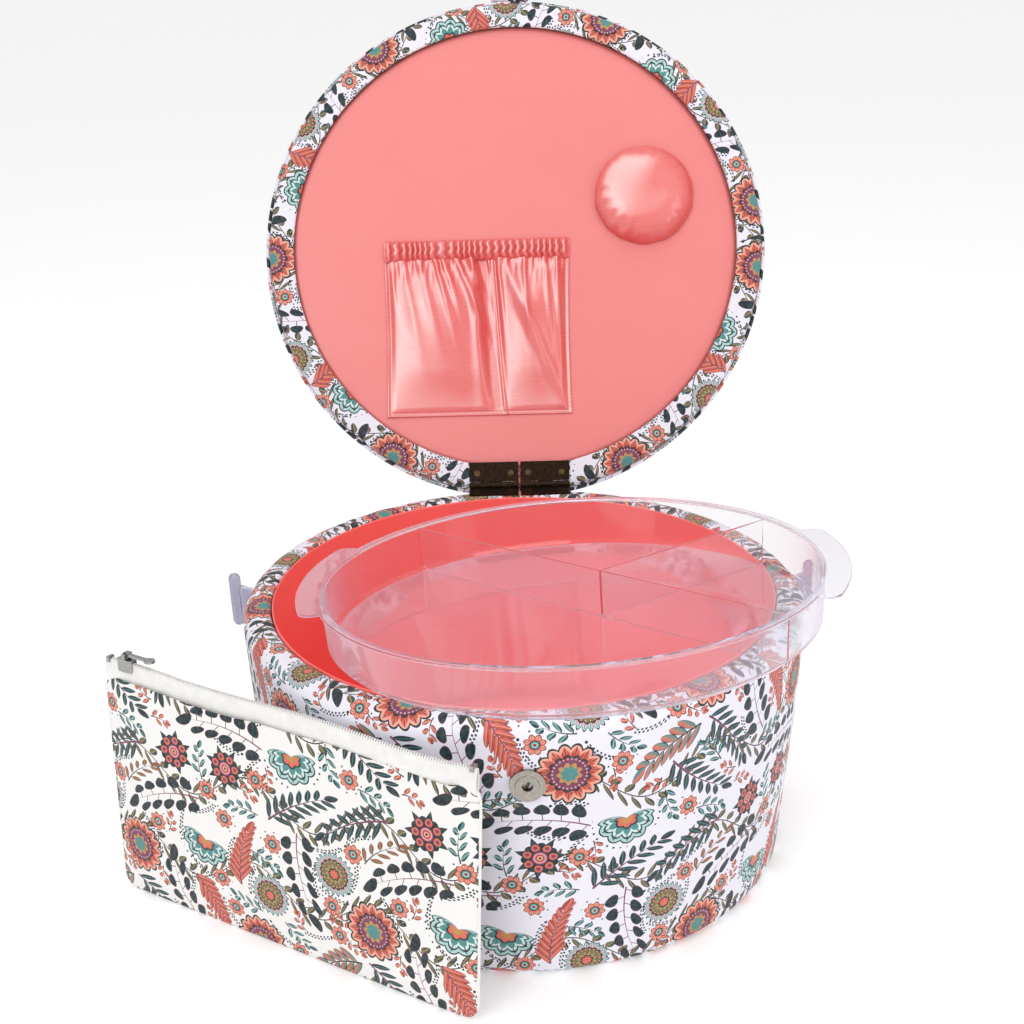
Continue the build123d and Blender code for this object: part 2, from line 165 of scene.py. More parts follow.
def new_object(name, verts, faces):
    mesh = bpy.data.meshes.new(name)
    mesh.from_pydata([tuple(v) for v in verts], [], faces)
    mesh.update()
    mesh.shade_smooth()
    thing = bpy.data.objects.new(name, mesh)
    bpy.context.scene.collection.objects.link(thing)
    return thing


def set_cloth_map(thing, corner_places):
    """Store places on the flat cloth, in metres, as the piece's UV map."""
    layer = thing.data.uv_layers.new(name="cloth")
    layer.data.foreach_set("uv", np.asarray(corner_places, np.float32).ravel())


def grid_object(name, points, around=False, section=False, cloth=None):
    """A quad grid from points of shape (columns, rows, 3).

    around joins the last column to the first, section joins the last row to the first.
    cloth holds flat-cloth places, with one more column or row where the grid is joined.
    """
    columns, rows = points.shape[:2]
    wide = columns if around else columns - 1
    high = rows if section else rows - 1
    i, j = [part.ravel() for part in np.meshgrid(np.arange(wide), np.arange(high), indexing="ij")]
    quad = [(i, j), (i + 1, j), (i + 1, j + 1), (i, j + 1)]
    faces = np.stack([(a % columns) * rows + (b % rows) for a, b in quad], -1)
    thing = new_object(name, points.reshape(-1, 3), faces.tolist())
    if cloth is not None:
        set_cloth_map(thing, np.stack([cloth[a, b] for a, b in quad], 1))
    return thing


def edit_mesh(thing, *steps):
    """Run steps on a piece's mesh, then face it outwards."""
    mesh = bmesh.new()
    mesh.from_mesh(thing.data)
    for step in steps:
        step(mesh)
    bmesh.ops.recalc_face_normals(mesh, faces=mesh.faces)
    mesh.to_mesh(thing.data)
    mesh.free()
    thing.data.shade_smooth()
    return thing


def merge_doubles(mesh):
    bmesh.ops.remove_doubles(mesh, verts=mesh.verts, dist=1e-6)
    bmesh.ops.dissolve_degenerate(mesh, dist=1e-7, edges=mesh.edges)


def fill_holes(mesh):
    bmesh.ops.holes_fill(mesh, edges=[e for e in mesh.edges if e.is_boundary], sides=0)


def sheet_object(name, front, back, cloth=None):
    """A closed sheet from two grids of the same shape, joined along all four edges."""
    columns, rows = front.shape[:2]
    total = rows * 2

    def close_sides(mesh):
        mesh.verts.ensure_lookup_table()
        for start in (0, (columns - 1) * total):
            for r in range(rows - 1):
                ids = (start + r, start + r + 1, start + total - 2 - r, start + total - 1 - r)
                mesh.faces.new([mesh.verts[k] for k in ids])

    loop = np.concatenate([front, back[:, ::-1]], 1)
    thing = edit_mesh(grid_object(name, loop, section=True), close_sides)
    if cloth is not None:
        corner = np.empty(len(thing.data.loops), np.int32)
        thing.data.loops.foreach_get("vertex_index", corner)
        set_cloth_map(thing, np.concatenate([cloth, cloth[:, ::-1]], 1).reshape(-1, 2)[corner])
    return thing


def turned(profile, angles, out=0):
    """Points of a (radius, height) profile turned to each angle. out adds to each radius."""
    radius = profile[None, :, 0] + out
    return stack(radius * np.cos(angles)[:, None], radius * np.sin(angles)[:, None], profile[None, :, 1])


def turned_object(name, points, cloth=None):
    """A turned shape that meets its axis at both ends of the profile."""
    return edit_mesh(grid_object(name, points, around=True, cloth=cloth), merge_doubles)


def ring_object(name, points, cloth=None):
    """A turned shape whose profile is a closed loop."""
    return edit_mesh(grid_object(name, points, around=True, section=True, cloth=cloth))


def rod_object(name, points):
    """A rod with closed ends from rings of points."""
    return edit_mesh(grid_object(name, points, section=True), fill_holes)


# ---------- Padded body ----------

def body_cover_object():
    """Printed cover: a padded wall, the rolled rim and the edge turned under the base."""
    rim, bend, inner_bend = 8 * MM, 7 * MM, 3 * MM
    foot_radius = body_radius - 6 * MM
    rim_inner = lining_radius + 0.4 * MM
    inside = board_radius + 0.6 * MM
    over_board = board_top + 1.2 * MM
    turned_under = 2.6 * MM
    profile, along = path(
        (base_radius + 0.5 * MM, 0.3 * MM),
        *arc((foot_radius - bend, bend), bend, -90, 0),
        *arc((body_radius - rim, body_height - rim), rim, 0, 90),
        *arc((rim_inner + inner_bend, body_height - inner_bend), inner_bend, 90, 180, 4),
        (rim_inner, over_board), (inside, over_board),
        (inside, turned_under), (base_radius + 0.5 * MM, turned_under))
    profile = profile[:-1]
    angles = turns(400)
    height = profile[None, :, 1]
    around = angles[:, None] * body_radius
    soft = ripple(3, around, height * 1.5, 9, 3, 11) * 0.55 * MM
    bulge = np.sin(np.clip(height / body_height, 0, 1) * math.pi) * 0.7 * MM
    outside = profile[:, 0] > board_radius + 1.5 * MM
    points = turned(profile, angles, (soft + bulge) * outside)
    on_rim = smooth_step(body_height - 16 * MM, body_height - 2 * MM, height)
    pleats = ripple(4, around, height * 0, 6, 40, 95) * on_rim * 0.3 * MM
    points[:, :, 2] += pleats * (height > body_height - 9 * MM)
    cloth = stack(turns(400, 1)[:, None] * cloth_radius, along[None, :])
    return ring_object("body_print_cover", points, cloth)


def wall_lining_object():
    """Satin inside the wall, with soft vertical draws and two upright seams."""
    thick = 1.0 * MM
    inner = lining_radius - thick
    profile, _ = path(
        (lining_radius, pad_low.z), (inner, pad_low.z), (inner, lining_top - 0.8 * MM),
        *arc((inner + thick / 2, lining_top - 0.5 * MM), thick / 2, 180, 0, 5), step=3 * MM)
    angles = turns(360)
    height = profile[None, :, 1]
    draws = ripple(11, angles[:, None] * inner, height * 0.15, 10, 8, 40) * 0.28 * MM
    for seam in (0.25 * TAU, 0.75 * TAU):
        away = np.abs((angles - seam + math.pi) % TAU - math.pi)[:, None] * inner
        draws = draws + 0.7 * MM * ridge(away, 1.6 * MM) - 0.5 * MM * ridge(away - 5 * MM, 3 * MM)
    face = profile[:, 0] < lining_radius - 0.1 * MM
    fade = smooth_step(lining_top, lining_top - 6 * MM, height)
    return ring_object("wall_satin_lining", turned(profile, angles, draws * face * fade))


def floor_pad_object():
    """Padded satin floor with a rounded, slightly gathered edge."""
    radius, edge = pad_high.x, 3 * MM
    thick = pad_high.z - pad_low.z
    profile, _ = path(
        (0, pad_high.z + 0.8 * MM), (radius - 14 * MM, pad_high.z),
        *arc((radius - edge, pad_low.z + thick / 2), (edge, thick / 2), 90, -90, 7),
        (0, pad_low.z), step=4 * MM)
    angles = turns(180)
    reach = smooth_step(0.55, 0.97, profile[None, :, 0] / radius)
    gather = ripple(12, angles[:, None] * radius, 0, 7, 20, 60) * 0.35 * MM * reach
    points = turned(profile, angles)
    swell = ripple(13, points[:, :, 0], points[:, :, 1], 6, 3, 9) * 0.5 * MM
    points[:, :, 2] += (gather + swell) * (profile[:, 1] > pad_low.z + 1 * MM)
    return turned_object("floor_satin_pad", points)


def base_cover_object():
    """Cloth stretched under the base, its edge pressed flat."""
    edge = 1.0 * MM
    profile, _ = path((0, 0.4 * MM), (base_radius - 1.2 * MM, 0.1 * MM),
                      *arc((base_radius - edge, 0.1 * MM + edge), edge, -90, 90, 6),
                      (0, base_top), step=6 * MM)
    points = turned(profile, turns(120))
    cloth = turned(profile, turns(120, 1))[:, :, :2] + body_radius
    return turned_object("base_cloth", points, cloth)


# ---------- Lid, shaped shut and then opened ----------

def open_up(thing):
    thing.data.transform(opened)
    thing.data.update()
    return thing


def lid_cover_object():
    """Padded lid: crowned top, rounded edge, a seam under the cord and the lip around the satin panel."""
    shoulder, low_round, lip_round = 8 * MM, 4 * MM, 1.2 * MM
    lip = lid_low.z
    inner = panel_radius - 0.8 * MM
    top = lid_board_high.z + 9 * MM
    crown = lid_high.z - top
    hollow = lid_board_high.x + 0.5 * MM
    hollow_top = lid_board_high.z + 0.4 * MM
    seam = (piping_low.z + piping_high.z) / 2
    span = lid_radius - shoulder
    dome = [(span * t, top + crown * (1 - t * t)) for t in np.linspace(0, 1, 30)]
    profile, along = path(
        *dome, *arc((span, top - shoulder), shoulder, 82, 0, 6),
        (lid_radius, seam + 1.6 * MM), (lid_radius - 0.9 * MM, seam), (lid_radius, seam - 1.6 * MM),
        *arc((lid_radius - low_round, lip + low_round), low_round, 0, -90, 5),
        *arc((inner + lip_round, lip + lip_round), lip_round, -90, -180, 4),
        (inner, lip + 1.7 * MM), (hollow, lip + 1.7 * MM), (hollow, hollow_top), (0, hollow_top))
    columns = 400
    angles = turns(columns)
    radius, height = profile[None, :, 0], profile[None, :, 1]
    points = turned(profile, angles)
    on_top = (height > lid_board_high.z + 1 * MM) * smooth_step(0, 0.2, radius / lid_radius)
    points[:, :, 2] += ripple(21, points[:, :, 0], points[:, :, 1], 8, 3, 9) * 0.8 * MM * on_top
    on_lip = (height < lip + 0.6 * MM) & (radius > inner + 1 * MM)
    points[:, :, 2] += ripple(22, angles[:, None] * lid_radius, radius, 8, 25, 70) * 0.25 * MM * on_lip
    turn = turns(columns, 1)[:, None]
    flat = np.minimum(radius, span)
    top_map = stack(flat * np.cos(turn), flat * np.sin(turn))
    band_map = stack(turn * lid_radius, along[None, :])
    on_band = (np.arange(len(profile)) > len(dome) + 4)[None, :, None]
    cut_from = 0.3
    cloth = np.where(on_band, band_map, top_map + cut_from)
    return open_up(turned_object("lid_print_cover", points, cloth))


def lid_cord_object():
    """Corded edge with the slight unevenness of a hand-turned piping."""
    radius = (lid_radius + piping_high.x) / 2 + 0.1 * MM
    middle = (piping_low.z + piping_high.z) / 2
    thick = (piping_high.z - piping_low.z) / 2
    columns, rows = 420, 8
    angles, turn = turns(columns), turns(rows)[None, :]
    size = thick * (1 + 0.07 * ripple(23, angles * radius, angles * 0, 6, 20, 80))[:, None]
    reach = radius + size * np.cos(turn)
    points = stack(reach * np.cos(angles)[:, None], reach * np.sin(angles)[:, None],
                   middle + size * np.sin(turn))
    cloth = stack(turns(columns, 1)[:, None] * radius, turns(rows, 1)[None, :] * thick + 0.05)
    return open_up(ring_object("lid_cord", points, cloth))


def lid_panel_object():
    """Satin panel pulled over the lid's board, tucked behind the lip."""
    edge = panel_radius - 0.4 * MM
    profile, _ = path((0, panel_face), (panel_radius - 6 * MM, panel_face), (edge, panel_face + 0.4 * MM),
                      (edge, panel_high.z), (0, panel_high.z), step=3 * MM)
    points = turned(profile, turns(240))
    x, y = points[:, :, 0], points[:, :, 1]
    below = points[:, :, 2] < panel_high.z - 0.2 * MM
    reach = smooth_step(1.0, 0.75, np.hypot(x, y) / panel_radius)
    points[:, :, 2] += (ripple(24, x, y, 9, 3, 10) * 0.3 - 0.25) * MM * below * reach
    return open_up(turned_object("lid_satin_panel", points))


# ---------- Pocket, elastic and pincushion on the lid's panel ----------

pocket_hem = 2.2 * MM
divider_top, divider_bottom = 0.584, 0.642


def on_panel(name, x, y, height):
    """A sheet that stands out from the panel by height."""
    front = stack(x, y, panel_face - height)
    back = stack(x, y, panel_face - 0.1 * MM)
    return open_up(sheet_object(name, front, back))


def fold(q, t, start, drift, width, height, reach):
    """A soft ridge that starts at the mouth at q = start, leans by drift and fades after reach."""
    return height * ridge(q - start - drift * t, width * (1 + 0.8 * t)) * ridge(t, reach)


def compartment_folds(q, t, seed, count, drift):
    chance = random.Random(seed)
    total = np.zeros_like(q)
    for k in range(count):
        start = (k + 0.5 + chance.uniform(-0.25, 0.25)) / count
        lean = drift * (0.4 + start) * chance.uniform(0.7, 1.2)
        width = chance.uniform(0.022, 0.038)
        height = chance.uniform(1.4, 3.0) * MM
        total += fold(q, t, start, lean, width, height, chance.uniform(0.22, 0.5))
    return total


def pocket_object():
    """Gathered satin pocket: a hem on three sides, a divider seam and folds falling from the elastic."""
    s, t = unit_grid(190, 130)
    width = pocket_high.x - pocket_low.x
    drop = pocket_high.y - pocket_low.y
    x = pocket_low.x + s * width
    y = pocket_low.y + t * drop
    divider = divider_top + (divider_bottom - divider_top) * t
    from_divider = (s - divider) * width
    q = np.where(s < divider, s / divider, (s - divider) / (1 - divider))
    fullness = smooth_step(-0.15, 0.32, t) * (1 - smooth_step(0.2, 1.1, t) * 0.85)
    bag = np.sin(math.pi * np.clip(q, 0, 1)) ** 0.7 * fullness * 8.5 * MM
    left_folds = (compartment_folds(q, t, 31, 8, 0.45) + fold(q, t, 0.90, 0.03, 0.05, -4.0 * MM, 2.2)
                  + fold(q, t, 0.80, 0.05, 0.04, 2.2 * MM, 1.6))
    right_folds = compartment_folds(q, t, 32, 4, 0.1) + fold(q, t, 0.12, 0.78, 0.07, 2.2 * MM, 1.7)
    facet = 2.4 * MM * smooth_step(-0.10, 0.12, q - t * 0.92) * smooth_step(0.1, 0.5, t) * (1 - q)
    folds = np.where(s < divider, left_folds, right_folds + facet)
    gathers = ripple(33, x, y * 0.2, 9, 180, 330) * 1.9 * MM * ridge(t, 0.11)
    from_hem = np.minimum(np.minimum(s, 1 - s) * width, (1 - t) * drop)
    free_of_hem = smooth_step(pocket_hem, pocket_hem + 3.5 * MM, from_hem)
    free_of_seam = smooth_step(0.3 * MM, 3.5 * MM, np.abs(from_divider))
    free = free_of_hem * free_of_seam * (0.45 + 0.55 * smooth_step(0, 0.3, 1 - t))
    groove = 0.7 * MM * ridge(from_hem - pocket_hem, 0.5 * MM)
    seam = 1.0 * MM * ridge(from_divider, 0.8 * MM)
    height = np.maximum(1.1 * MM + (bag + folds + gathers) * free - groove + seam, 0.35 * MM)
    bow = 0.9 * MM * np.sin(t * math.pi) * np.cos(s * math.pi)
    return on_panel("lid_satin_pocket", x + bow, y, height)


def elastic_object():
    """Casing of the pocket's elastic, gathered into short upright pleats."""
    s, t = unit_grid(420, 26)
    width = elastic_high.x - elastic_low.x
    depth = elastic_high.y - elastic_low.y
    wander = ripple(34, s, t * 0, 5, 1, 5) * 0.9 + ripple(35, s, t, 5, 1, 3) * 0.16
    pleat = np.abs(np.sin((s * 27 + wander) * math.pi)) ** 0.6
    across = np.sin(math.pi * np.clip(t, 0.02, 0.98)) ** 0.35
    hold = smooth_step(0, 0.03, np.minimum(s, 1 - s))
    waist = 1 - 0.08 * ridge(t - 0.5, 0.16)
    height = 1.0 * MM + across * (0.8 * MM + 3.4 * MM * pleat * waist * (0.25 + 0.75 * hold))
    frill = (pleat - 0.5) * 0.7 * MM * np.where(t < 0.5, -1, 1) * (np.abs(t - 0.5) * 2) ** 3
    x = elastic_low.x + s * width
    y = elastic_low.y + t * (depth + 0.6 * MM) + frill
    return on_panel("pocket_gathered_elastic", x, y, height)


def stitch_row(verts, faces, start, end):
    """Add a row of small thread stitches between two points of the shut lid's panel."""
    length, pitch, size, lift = 1.9 * MM, 2.5 * MM, 0.22 * MM, 1.15 * MM
    sides = 6
    run = Vector(end) - Vector(start)
    heading = run.normalized()
    side = Vector((-heading.y, heading.x, 0))
    up = Vector((0, 0, -1))
    for k in range(int(run.length / pitch)):
        middle = Vector(start) + heading * (k + 0.5) * pitch + up * lift
        base = len(verts)
        for along, swell in [(-0.5, 0.25), (-0.3, 1), (0.3, 1), (0.5, 0.25)]:
            for a in turns(sides):
                offset = (side * math.cos(a) + up * math.sin(a)) * size * swell
                verts.append(middle + heading * along * length + offset)
        for ring in (base, base + sides, base + 2 * sides):
            for turn in range(sides):
                a, b = ring + turn, ring + (turn + 1) % sides
                faces.append([a, b, b + sides, a + sides])
        faces.append(list(range(base + sides - 1, base - 1, -1)))
        faces.append(list(range(base + 3 * sides, base + 4 * sides)))


def pocket_stitches_object():
    verts, faces = [], []
    inset = pocket_hem * 0.55
    left, right = pocket_low.x + inset, pocket_high.x - inset
    top, bottom = elastic_low.y + 1 * MM, pocket_high.y - inset
    for a, b in [((left, top), (left, bottom)), ((right, top), (right, bottom)),
                 ((left, bottom), (right, bottom))]:
        stitch_row(verts, faces, (*a, panel_face), (*b, panel_face))
    return open_up(edit_mesh(new_object("pocket_stitches", verts, faces)))


def pincushion_object():
    """Stuffed satin round: flat against the panel, crowned in front, puckered at its gathered edge."""
    middle = (cushion_low + cushion_high) / 2
    radius = (cushion_high.x - cushion_low.x) / 2
    depth = panel_face - cushion_low.z
    columns = 220
    angles = turns(columns)[:, None]
    rho = (np.linspace(0, 1, 56) ** 0.8)[None, :]
    around = angles * radius
    pucker = np.maximum(ripple(41, around, rho * 0, 7, 60, 170), -0.1) * 2.2 * smooth_step(0.62, 0.97, rho)
    crown = (1 - rho ** 3.4) ** 0.62
    height = depth * (0.1 + 0.9 * crown) - pucker * 0.9 * MM * (0.3 + crown)
    height = height + ripple(42, rho * np.cos(angles), rho * np.sin(angles), 6, 0.4, 1.3) * 0.9 * MM * crown
    reach = rho * (radius - 1.2 * MM) * (1 + 0.018 * ripple(43, around, rho * 0, 6, 60, 150) * rho)
    front = stack(middle.x + reach * np.cos(angles), middle.y + reach * np.sin(angles), panel_face - height)
    centre = np.array([middle.x, middle.y, panel_face - 0.1 * MM])
    tuck = front[:, -1:, :] * [1, 1, 0] + [0, 0, centre[2]]
    tuck[:, :, :2] += (centre[:2] - tuck[:, :, :2]) * 0.04
    points = np.concatenate([front, tuck, np.broadcast_to(centre, (columns, 1, 3))], 1)
    return open_up(turned_object("satin_pincushion", points))


# ---------- Closure tab behind the lid ----------

def tab_object():
    """Printed strap with a rounded end and a stitched border, straight from its fold."""
    fold_point = np.array(joint("tab_fold")["pos_m"])
    cad = points_of("closure_tab")
    heading = Vector(cad.mean(0) - fold_point)
    heading.x = 0
    heading.normalize()
    across = Vector((1, 0, 0))
    basis = np.array(Matrix((across, heading, across.cross(heading))))
    half, length, thick = ((cad - fold_point) @ basis.T).max(0)
    u, v = unit_grid(24, 60)
    u = u * 2 - 1
    along = v * length
    end = np.clip((along - (length - half)) / half, 0, 1)
    x = u * half * np.sqrt(np.maximum(1 - end ** 2, 0.0004))
    border = ridge(np.abs(u) - 0.8, 0.06) * 0.3
    height = thick * (0.45 + 0.55 * (1 - np.abs(u) ** 6)) * (1 - border)
    faces = [stack(x, along, side * height) @ basis + fold_point for side in (1, -1)]
    return sheet_object("closure_tab_cloth", *faces, cloth=stack(x + 0.11, along + 0.07))


# ---------- Zip pouch ----------

pouch_across = Vector(joint("slider_slide")["axis"])
pouch_depth = Vector(joint("pull_flip")["axis"])
pouch_up = pouch_across.cross(pouch_depth)
pouch_turn = Matrix((pouch_across, pouch_depth, pouch_up)).transposed().to_4x4()
front_low, front_high = turned_box("pouch_front", pouch_turn.inverted())
back_low, back_high = turned_box("pouch_back", pouch_turn.inverted())
coil_low, coil_high = turned_box("zip_coil", pouch_turn.inverted())
pouch_middle = (front_high.y + back_low.y) / 2


def stand_pouch(thing):
    thing.data.transform(pouch_turn)
    thing.data.update()
    return thing


def pouch_wave(x, z):
    """Shared soft bend of both panels, away from the basket, so that they never cross."""
    return (ripple(51, x, z * 0.6, 5, 3, 9) - 0.7) * 1.9 * MM


def zip_wave(x):
    """How far the limp zip edge rises or sags along the pouch; the end under the slider stays put."""
    loose = smooth_step(26 * MM, 60 * MM, x - front_low.x) * smooth_step(0, 20 * MM, front_high.x - x)
    return (ripple(57, x, x * 0, 4, 5, 13) - 0.4) * 2.4 * MM * loose


def corner_pull(z, low, high, corner):
    """How far the side is drawn in at height z by a rounded corner."""
    inset = np.maximum(corner - np.minimum(z - low, high - z), 0)
    return corner - np.sqrt(np.maximum(corner ** 2 - inset ** 2, 0))


def pouch_panel_object(name, side, shift):
    """One printed side of the pouch: eased over the filling, flat at its sewn edges, with soft folds."""
    low, high = (front_low, front_high) if side < 0 else (back_low, back_high)
    s, t = unit_grid(170, 100)
    width, tall = high.x - low.x, high.z - low.z
    z = low.z + t * tall
    pull = corner_pull(z, low.z, high.z, 8 * MM)
    x = low.x + s * width
    wavy_top = (zip_wave(x) + ripple(52, s, t * 0, 5, 2, 6) * 0.8 * MM) * smooth_step(0.5, 1.0, t)
    x = x + np.where(s > 0.5, -1, 1) * pull * np.abs(2 * s - 1) ** 12
    edge = np.minimum(np.minimum(s, 1 - s) * width, t * tall)
    bulge = smooth_step(0, 30 * MM, edge) * smooth_step(0, 22 * MM, (1 - t) * tall + 9 * MM) * 2.4 * MM
    creases = ripple(53 + side, x, z, 9, 7, 20) * 0.75 * MM * smooth_step(0, 14 * MM, edge)
    bend = pouch_wave(x, z) * smooth_step(0, 12 * MM, edge)
    outer = pouch_middle + side * (1.1 * MM + bulge) + creases + bend
    z = z + wavy_top
    front = stack(x, outer, z)
    back = stack(x, outer - side * 0.7 * MM, z)
    cloth = stack((x - low.x) * -side + shift[0], z + shift[1])
    return stand_pouch(sheet_object(name, front, back, cloth))


def tape_object(name, side):
    """Knitted zip tape, its lower part behind the cloth and its upper part showing as a soft white band."""
    s, t = unit_grid(180, 14)
    end, tucked = 1.5 * MM, 6 * MM
    x = front_low.x + end + s * (front_high.x - front_low.x - 2 * end)
    top = coil_low.z * 0.4 + coil_high.z * 0.6
    z = front_high.z - tucked + t * (top - front_high.z + tucked) + zip_wave(x)
    puff = (0.9 + ripple(55 + side, x, z, 7, 15, 45) * 0.35) * MM * np.sin(math.pi * t)
    y = pouch_middle + side * (0.7 * MM + puff)
    return stand_pouch(sheet_object(name, stack(x, y, z), stack(x, y - side * 0.5 * MM, z)))


def coil_object():
    """Two interlocked nylon coils: a row of small slanted loops along the zip."""
    pitch, wire, steps = 1.5 * MM, 0.38 * MM, 12
    radius = (coil_high.z - coil_low.z) / 2 - 0.2 * MM
    loops = int((coil_high.x - coil_low.x) / pitch)
    k = np.arange(loops * steps) / steps
    outward = stack(0, np.cos(k * TAU), np.sin(k * TAU))
    x = coil_low.x + k * pitch
    centre = stack(x, pouch_middle, (coil_low.z + coil_high.z) / 2 + zip_wave(x))
    centre = centre + outward * [0, radius * 0.95, radius]
    turn = turns(6)[None, :, None]
    points = centre[:, None] + wire * (np.cos(turn) * outward[:, None] + np.sin(turn) * [1, 0, 0])
    return stand_pouch(rod_object("zip_coil_loops", points))


def side_seam_object(name, x, side):
    """Turned seam along one upright side of the pouch."""
    low, high = front_low.z + 1 * MM, front_high.z + 1 * MM
    z = np.linspace(low, high, 60)
    size = (0.85 * MM * (1 + 0.2 * ripple(56, z, z * 0, 5, 30, 90)))[:, None]
    turn = turns(10)[None, :]
    seam_x = (x - side * corner_pull(z, low, high, 9 * MM))[:, None]
    points = stack(seam_x + size * np.cos(turn), pouch_middle + size * 1.2 * np.sin(turn), z[:, None])
    return stand_pouch(rod_object(name, points))


# ---------- Materials ----------

def rgb(hex_code, alpha=1):
    """Linear colour from an sRGB hex code."""
    parts = [int(hex_code[k:k + 2], 16) / 255 for k in (0, 2, 4)]
    return (*[c / 12.92 if c <= 0.04045 else ((c + 0.055) / 1.055) ** 2.4 for c in parts], alpha)


def operator(operation, swapped=False):
    def act(value, other):
        pair = (other, value) if swapped else (value, other)
        return value.graph.math(operation, *pair)
    return act


class Value:
    """A socket that works like a number: each operator adds a math node. & holds where both sides hold."""

    def __init__(self, graph, socket):
        self.graph = graph
        self.socket = socket

    __add__ = __radd__ = operator("ADD")
    __mul__ = __rmul__ = __and__ = operator("MULTIPLY")
    __sub__ = operator("SUBTRACT")
    __rsub__ = operator("SUBTRACT", swapped=True)
    __truediv__ = operator("DIVIDE")
    __pow__ = operator("POWER")
    __lt__ = operator("LESS_THAN")
    __gt__ = operator("GREATER_THAN")

    def __neg__(self):
        return self * -1

    def __abs__(self):
        return self.graph.math("ABSOLUTE", self)


class Graph:
    """The node tree of one new material, ending in a Principled BSDF."""

    def __init__(self, name):
        self.material = bpy.data.materials.new(name)
        self.material.use_nodes = True
        self.tree = self.material.node_tree
        self.shader = self.tree.nodes["Principled BSDF"]
        self.output = self.tree.nodes["Material Output"]
        self.spot = self.read("TexCoord", "Object")

    def node(self, kind, **settings):
        node = self.tree.nodes.new("ShaderNode" + kind)
        for key, value in settings.items():
            setattr(node, key, value)
        return node

    def read(self, kind, output, **settings):
        return Value(self, self.node(kind, **settings).outputs[output])

    def feed(self, socket, value):
        if isinstance(value, Value):
            self.tree.links.new(value.socket, socket)
        else:
            socket.default_value = value

    def built(self, node, output, **inputs):
        """Feed a node's inputs, with spaces in their names written as underscores, and return an output."""
        for name, value in inputs.items():
            self.feed(node.inputs[name.replace("_", " ")], value)
        return Value(self, node.outputs[output])

    def math(self, operation, *inputs):
        node = self.node("Math", operation=operation)
        for socket, value in zip(node.inputs, inputs):
            self.feed(socket, value)
        return Value(self, node.outputs[0])

    def dot(self, vector, direction):
        node = self.node("VectorMath", operation="DOT_PRODUCT")
        node.inputs[1].default_value = direction
        self.feed(node.inputs[0], vector)
        return Value(self, node.outputs["Value"])

    def split(self, vector):
        node = self.node("SeparateXYZ")
        self.feed(node.inputs[0], vector)
        return [Value(self, out) for out in node.outputs]

    def noise(self, scale, detail=3, roughness=0.5, stretch=(1, 1, 1)):
        place = self.built(self.node("Mapping"), 0, Vector=self.spot, Scale=stretch)
        return self.built(self.node("TexNoise"), "Fac", Vector=place, Scale=scale, Detail=detail,
                          Roughness=roughness)

    def wave(self, value, length):
        """A ripple between 0 and 1 with a wavelength."""
        return self.math("SINE", value * (TAU / length)) * 0.5 + 0.5

    def ramp(self, value, low, high, start=0.0, end=1.0):
        return self.built(self.node("MapRange"), "Result", Value=value, From_Min=low, From_Max=high,
                          To_Min=start, To_Max=end)

    def mix(self, share, a, b):
        """Colour a where share is 0 and b where it is 1."""
        node = self.node("Mix", data_type="RGBA")
        for socket, value in zip((node.inputs["Factor"], node.inputs[6], node.inputs[7]), (share, a, b)):
            self.feed(socket, value)
        return Value(self, node.outputs[2])

    def mix_shader(self, share, a, b):
        node = self.node("MixShader")
        for socket, value in zip(node.inputs, (share, a, b)):
            self.feed(socket, value)
        return Value(self, node.outputs[0])

    def bump(self, height, distance, strength=1.0):
        return self.built(self.node("Bump"), 0, Height=height, Distance=distance, Strength=strength)

    def finish(self, **inputs):
        self.built(self.shader, 0, **inputs)
        return self.material


# The direction of the light that is painted into the satins' colours.
satin_light = Vector((-0.28, -0.74, 0.61)).normalized()


def satin(name, colours, gloss, contrast):
    """Polyester satin: long floats one way, and painted highlight and shade: the colour is paler where the
    surface faces a fixed light direction and deeper where it faces away from it.

    colours run from painted shade through the middle to painted highlight; contrast is the share of this
    painted light and shade.
    """
    g = Graph(name)
    floats = g.noise(4200, 1, 0.4, (1, 0.1, 0.1))
    slub = g.noise(700, 2, 0.5, (0.1, 1, 1))
    # Painted light: how squarely the surface faces the painted light's direction.
    facing_light = g.dot(g.read("NewGeometry", "Normal"), satin_light)
    deep, middle, pale = [rgb(c) for c in colours]
    # Painted shade towards the deep colour where the surface faces away, then a painted highlight towards the
    # pale colour where it faces the light.
    base = g.mix(g.ramp(facing_light, 0.45, 0.92, contrast, 0.0), middle, deep)
    base = g.mix(g.ramp(facing_light, 0.91, 0.99, 0.0, contrast), base, pale)
    base = g.mix(g.ramp(g.noise(35), 0.35, 0.65, 0.0, 0.08), base, pale)
    return g.finish(Base_Color=base, Roughness=g.ramp(slub, 0.3, 0.7, gloss - 0.04, gloss + 0.06),
                    Specular_IOR_Level=0.6, Sheen_Weight=0.15, Sheen_Roughness=0.3, Sheen_Tint=pale,
                    Normal=g.bump(floats + slub * 0.3, 0.03 * MM, 0.3))


def metal(name, colour, worn, roughness, wear):
    """Cast or stamped metal: brushed grain, small pits and brighter worn spots."""
    g = Graph(name)
    clouds = g.noise(700, 4, 0.6)
    grain = g.noise(2600, 2, 0.5, (0.15, 1, 1))
    base = g.mix(g.ramp(clouds, 0.42, 0.72, 0.0, wear), rgb(colour), rgb(worn))
    rough = g.ramp(clouds + grain * 0.3, 0.45, 0.85, roughness - 0.08, roughness + 0.12)
    return g.finish(Base_Color=base, Metallic=1.0, Roughness=rough,
                    Normal=g.bump(clouds + grain, 0.03 * MM, 0.15))


tray_points = points_of("tray")
tray_up = Vector(np.linalg.svd(tray_points - tray_points.mean(0), full_matrices=False)[2][2])
tray_up = tray_up if tray_up.z > 0 else -tray_up
tray_floor = (tray_points @ np.array(tray_up)).min()


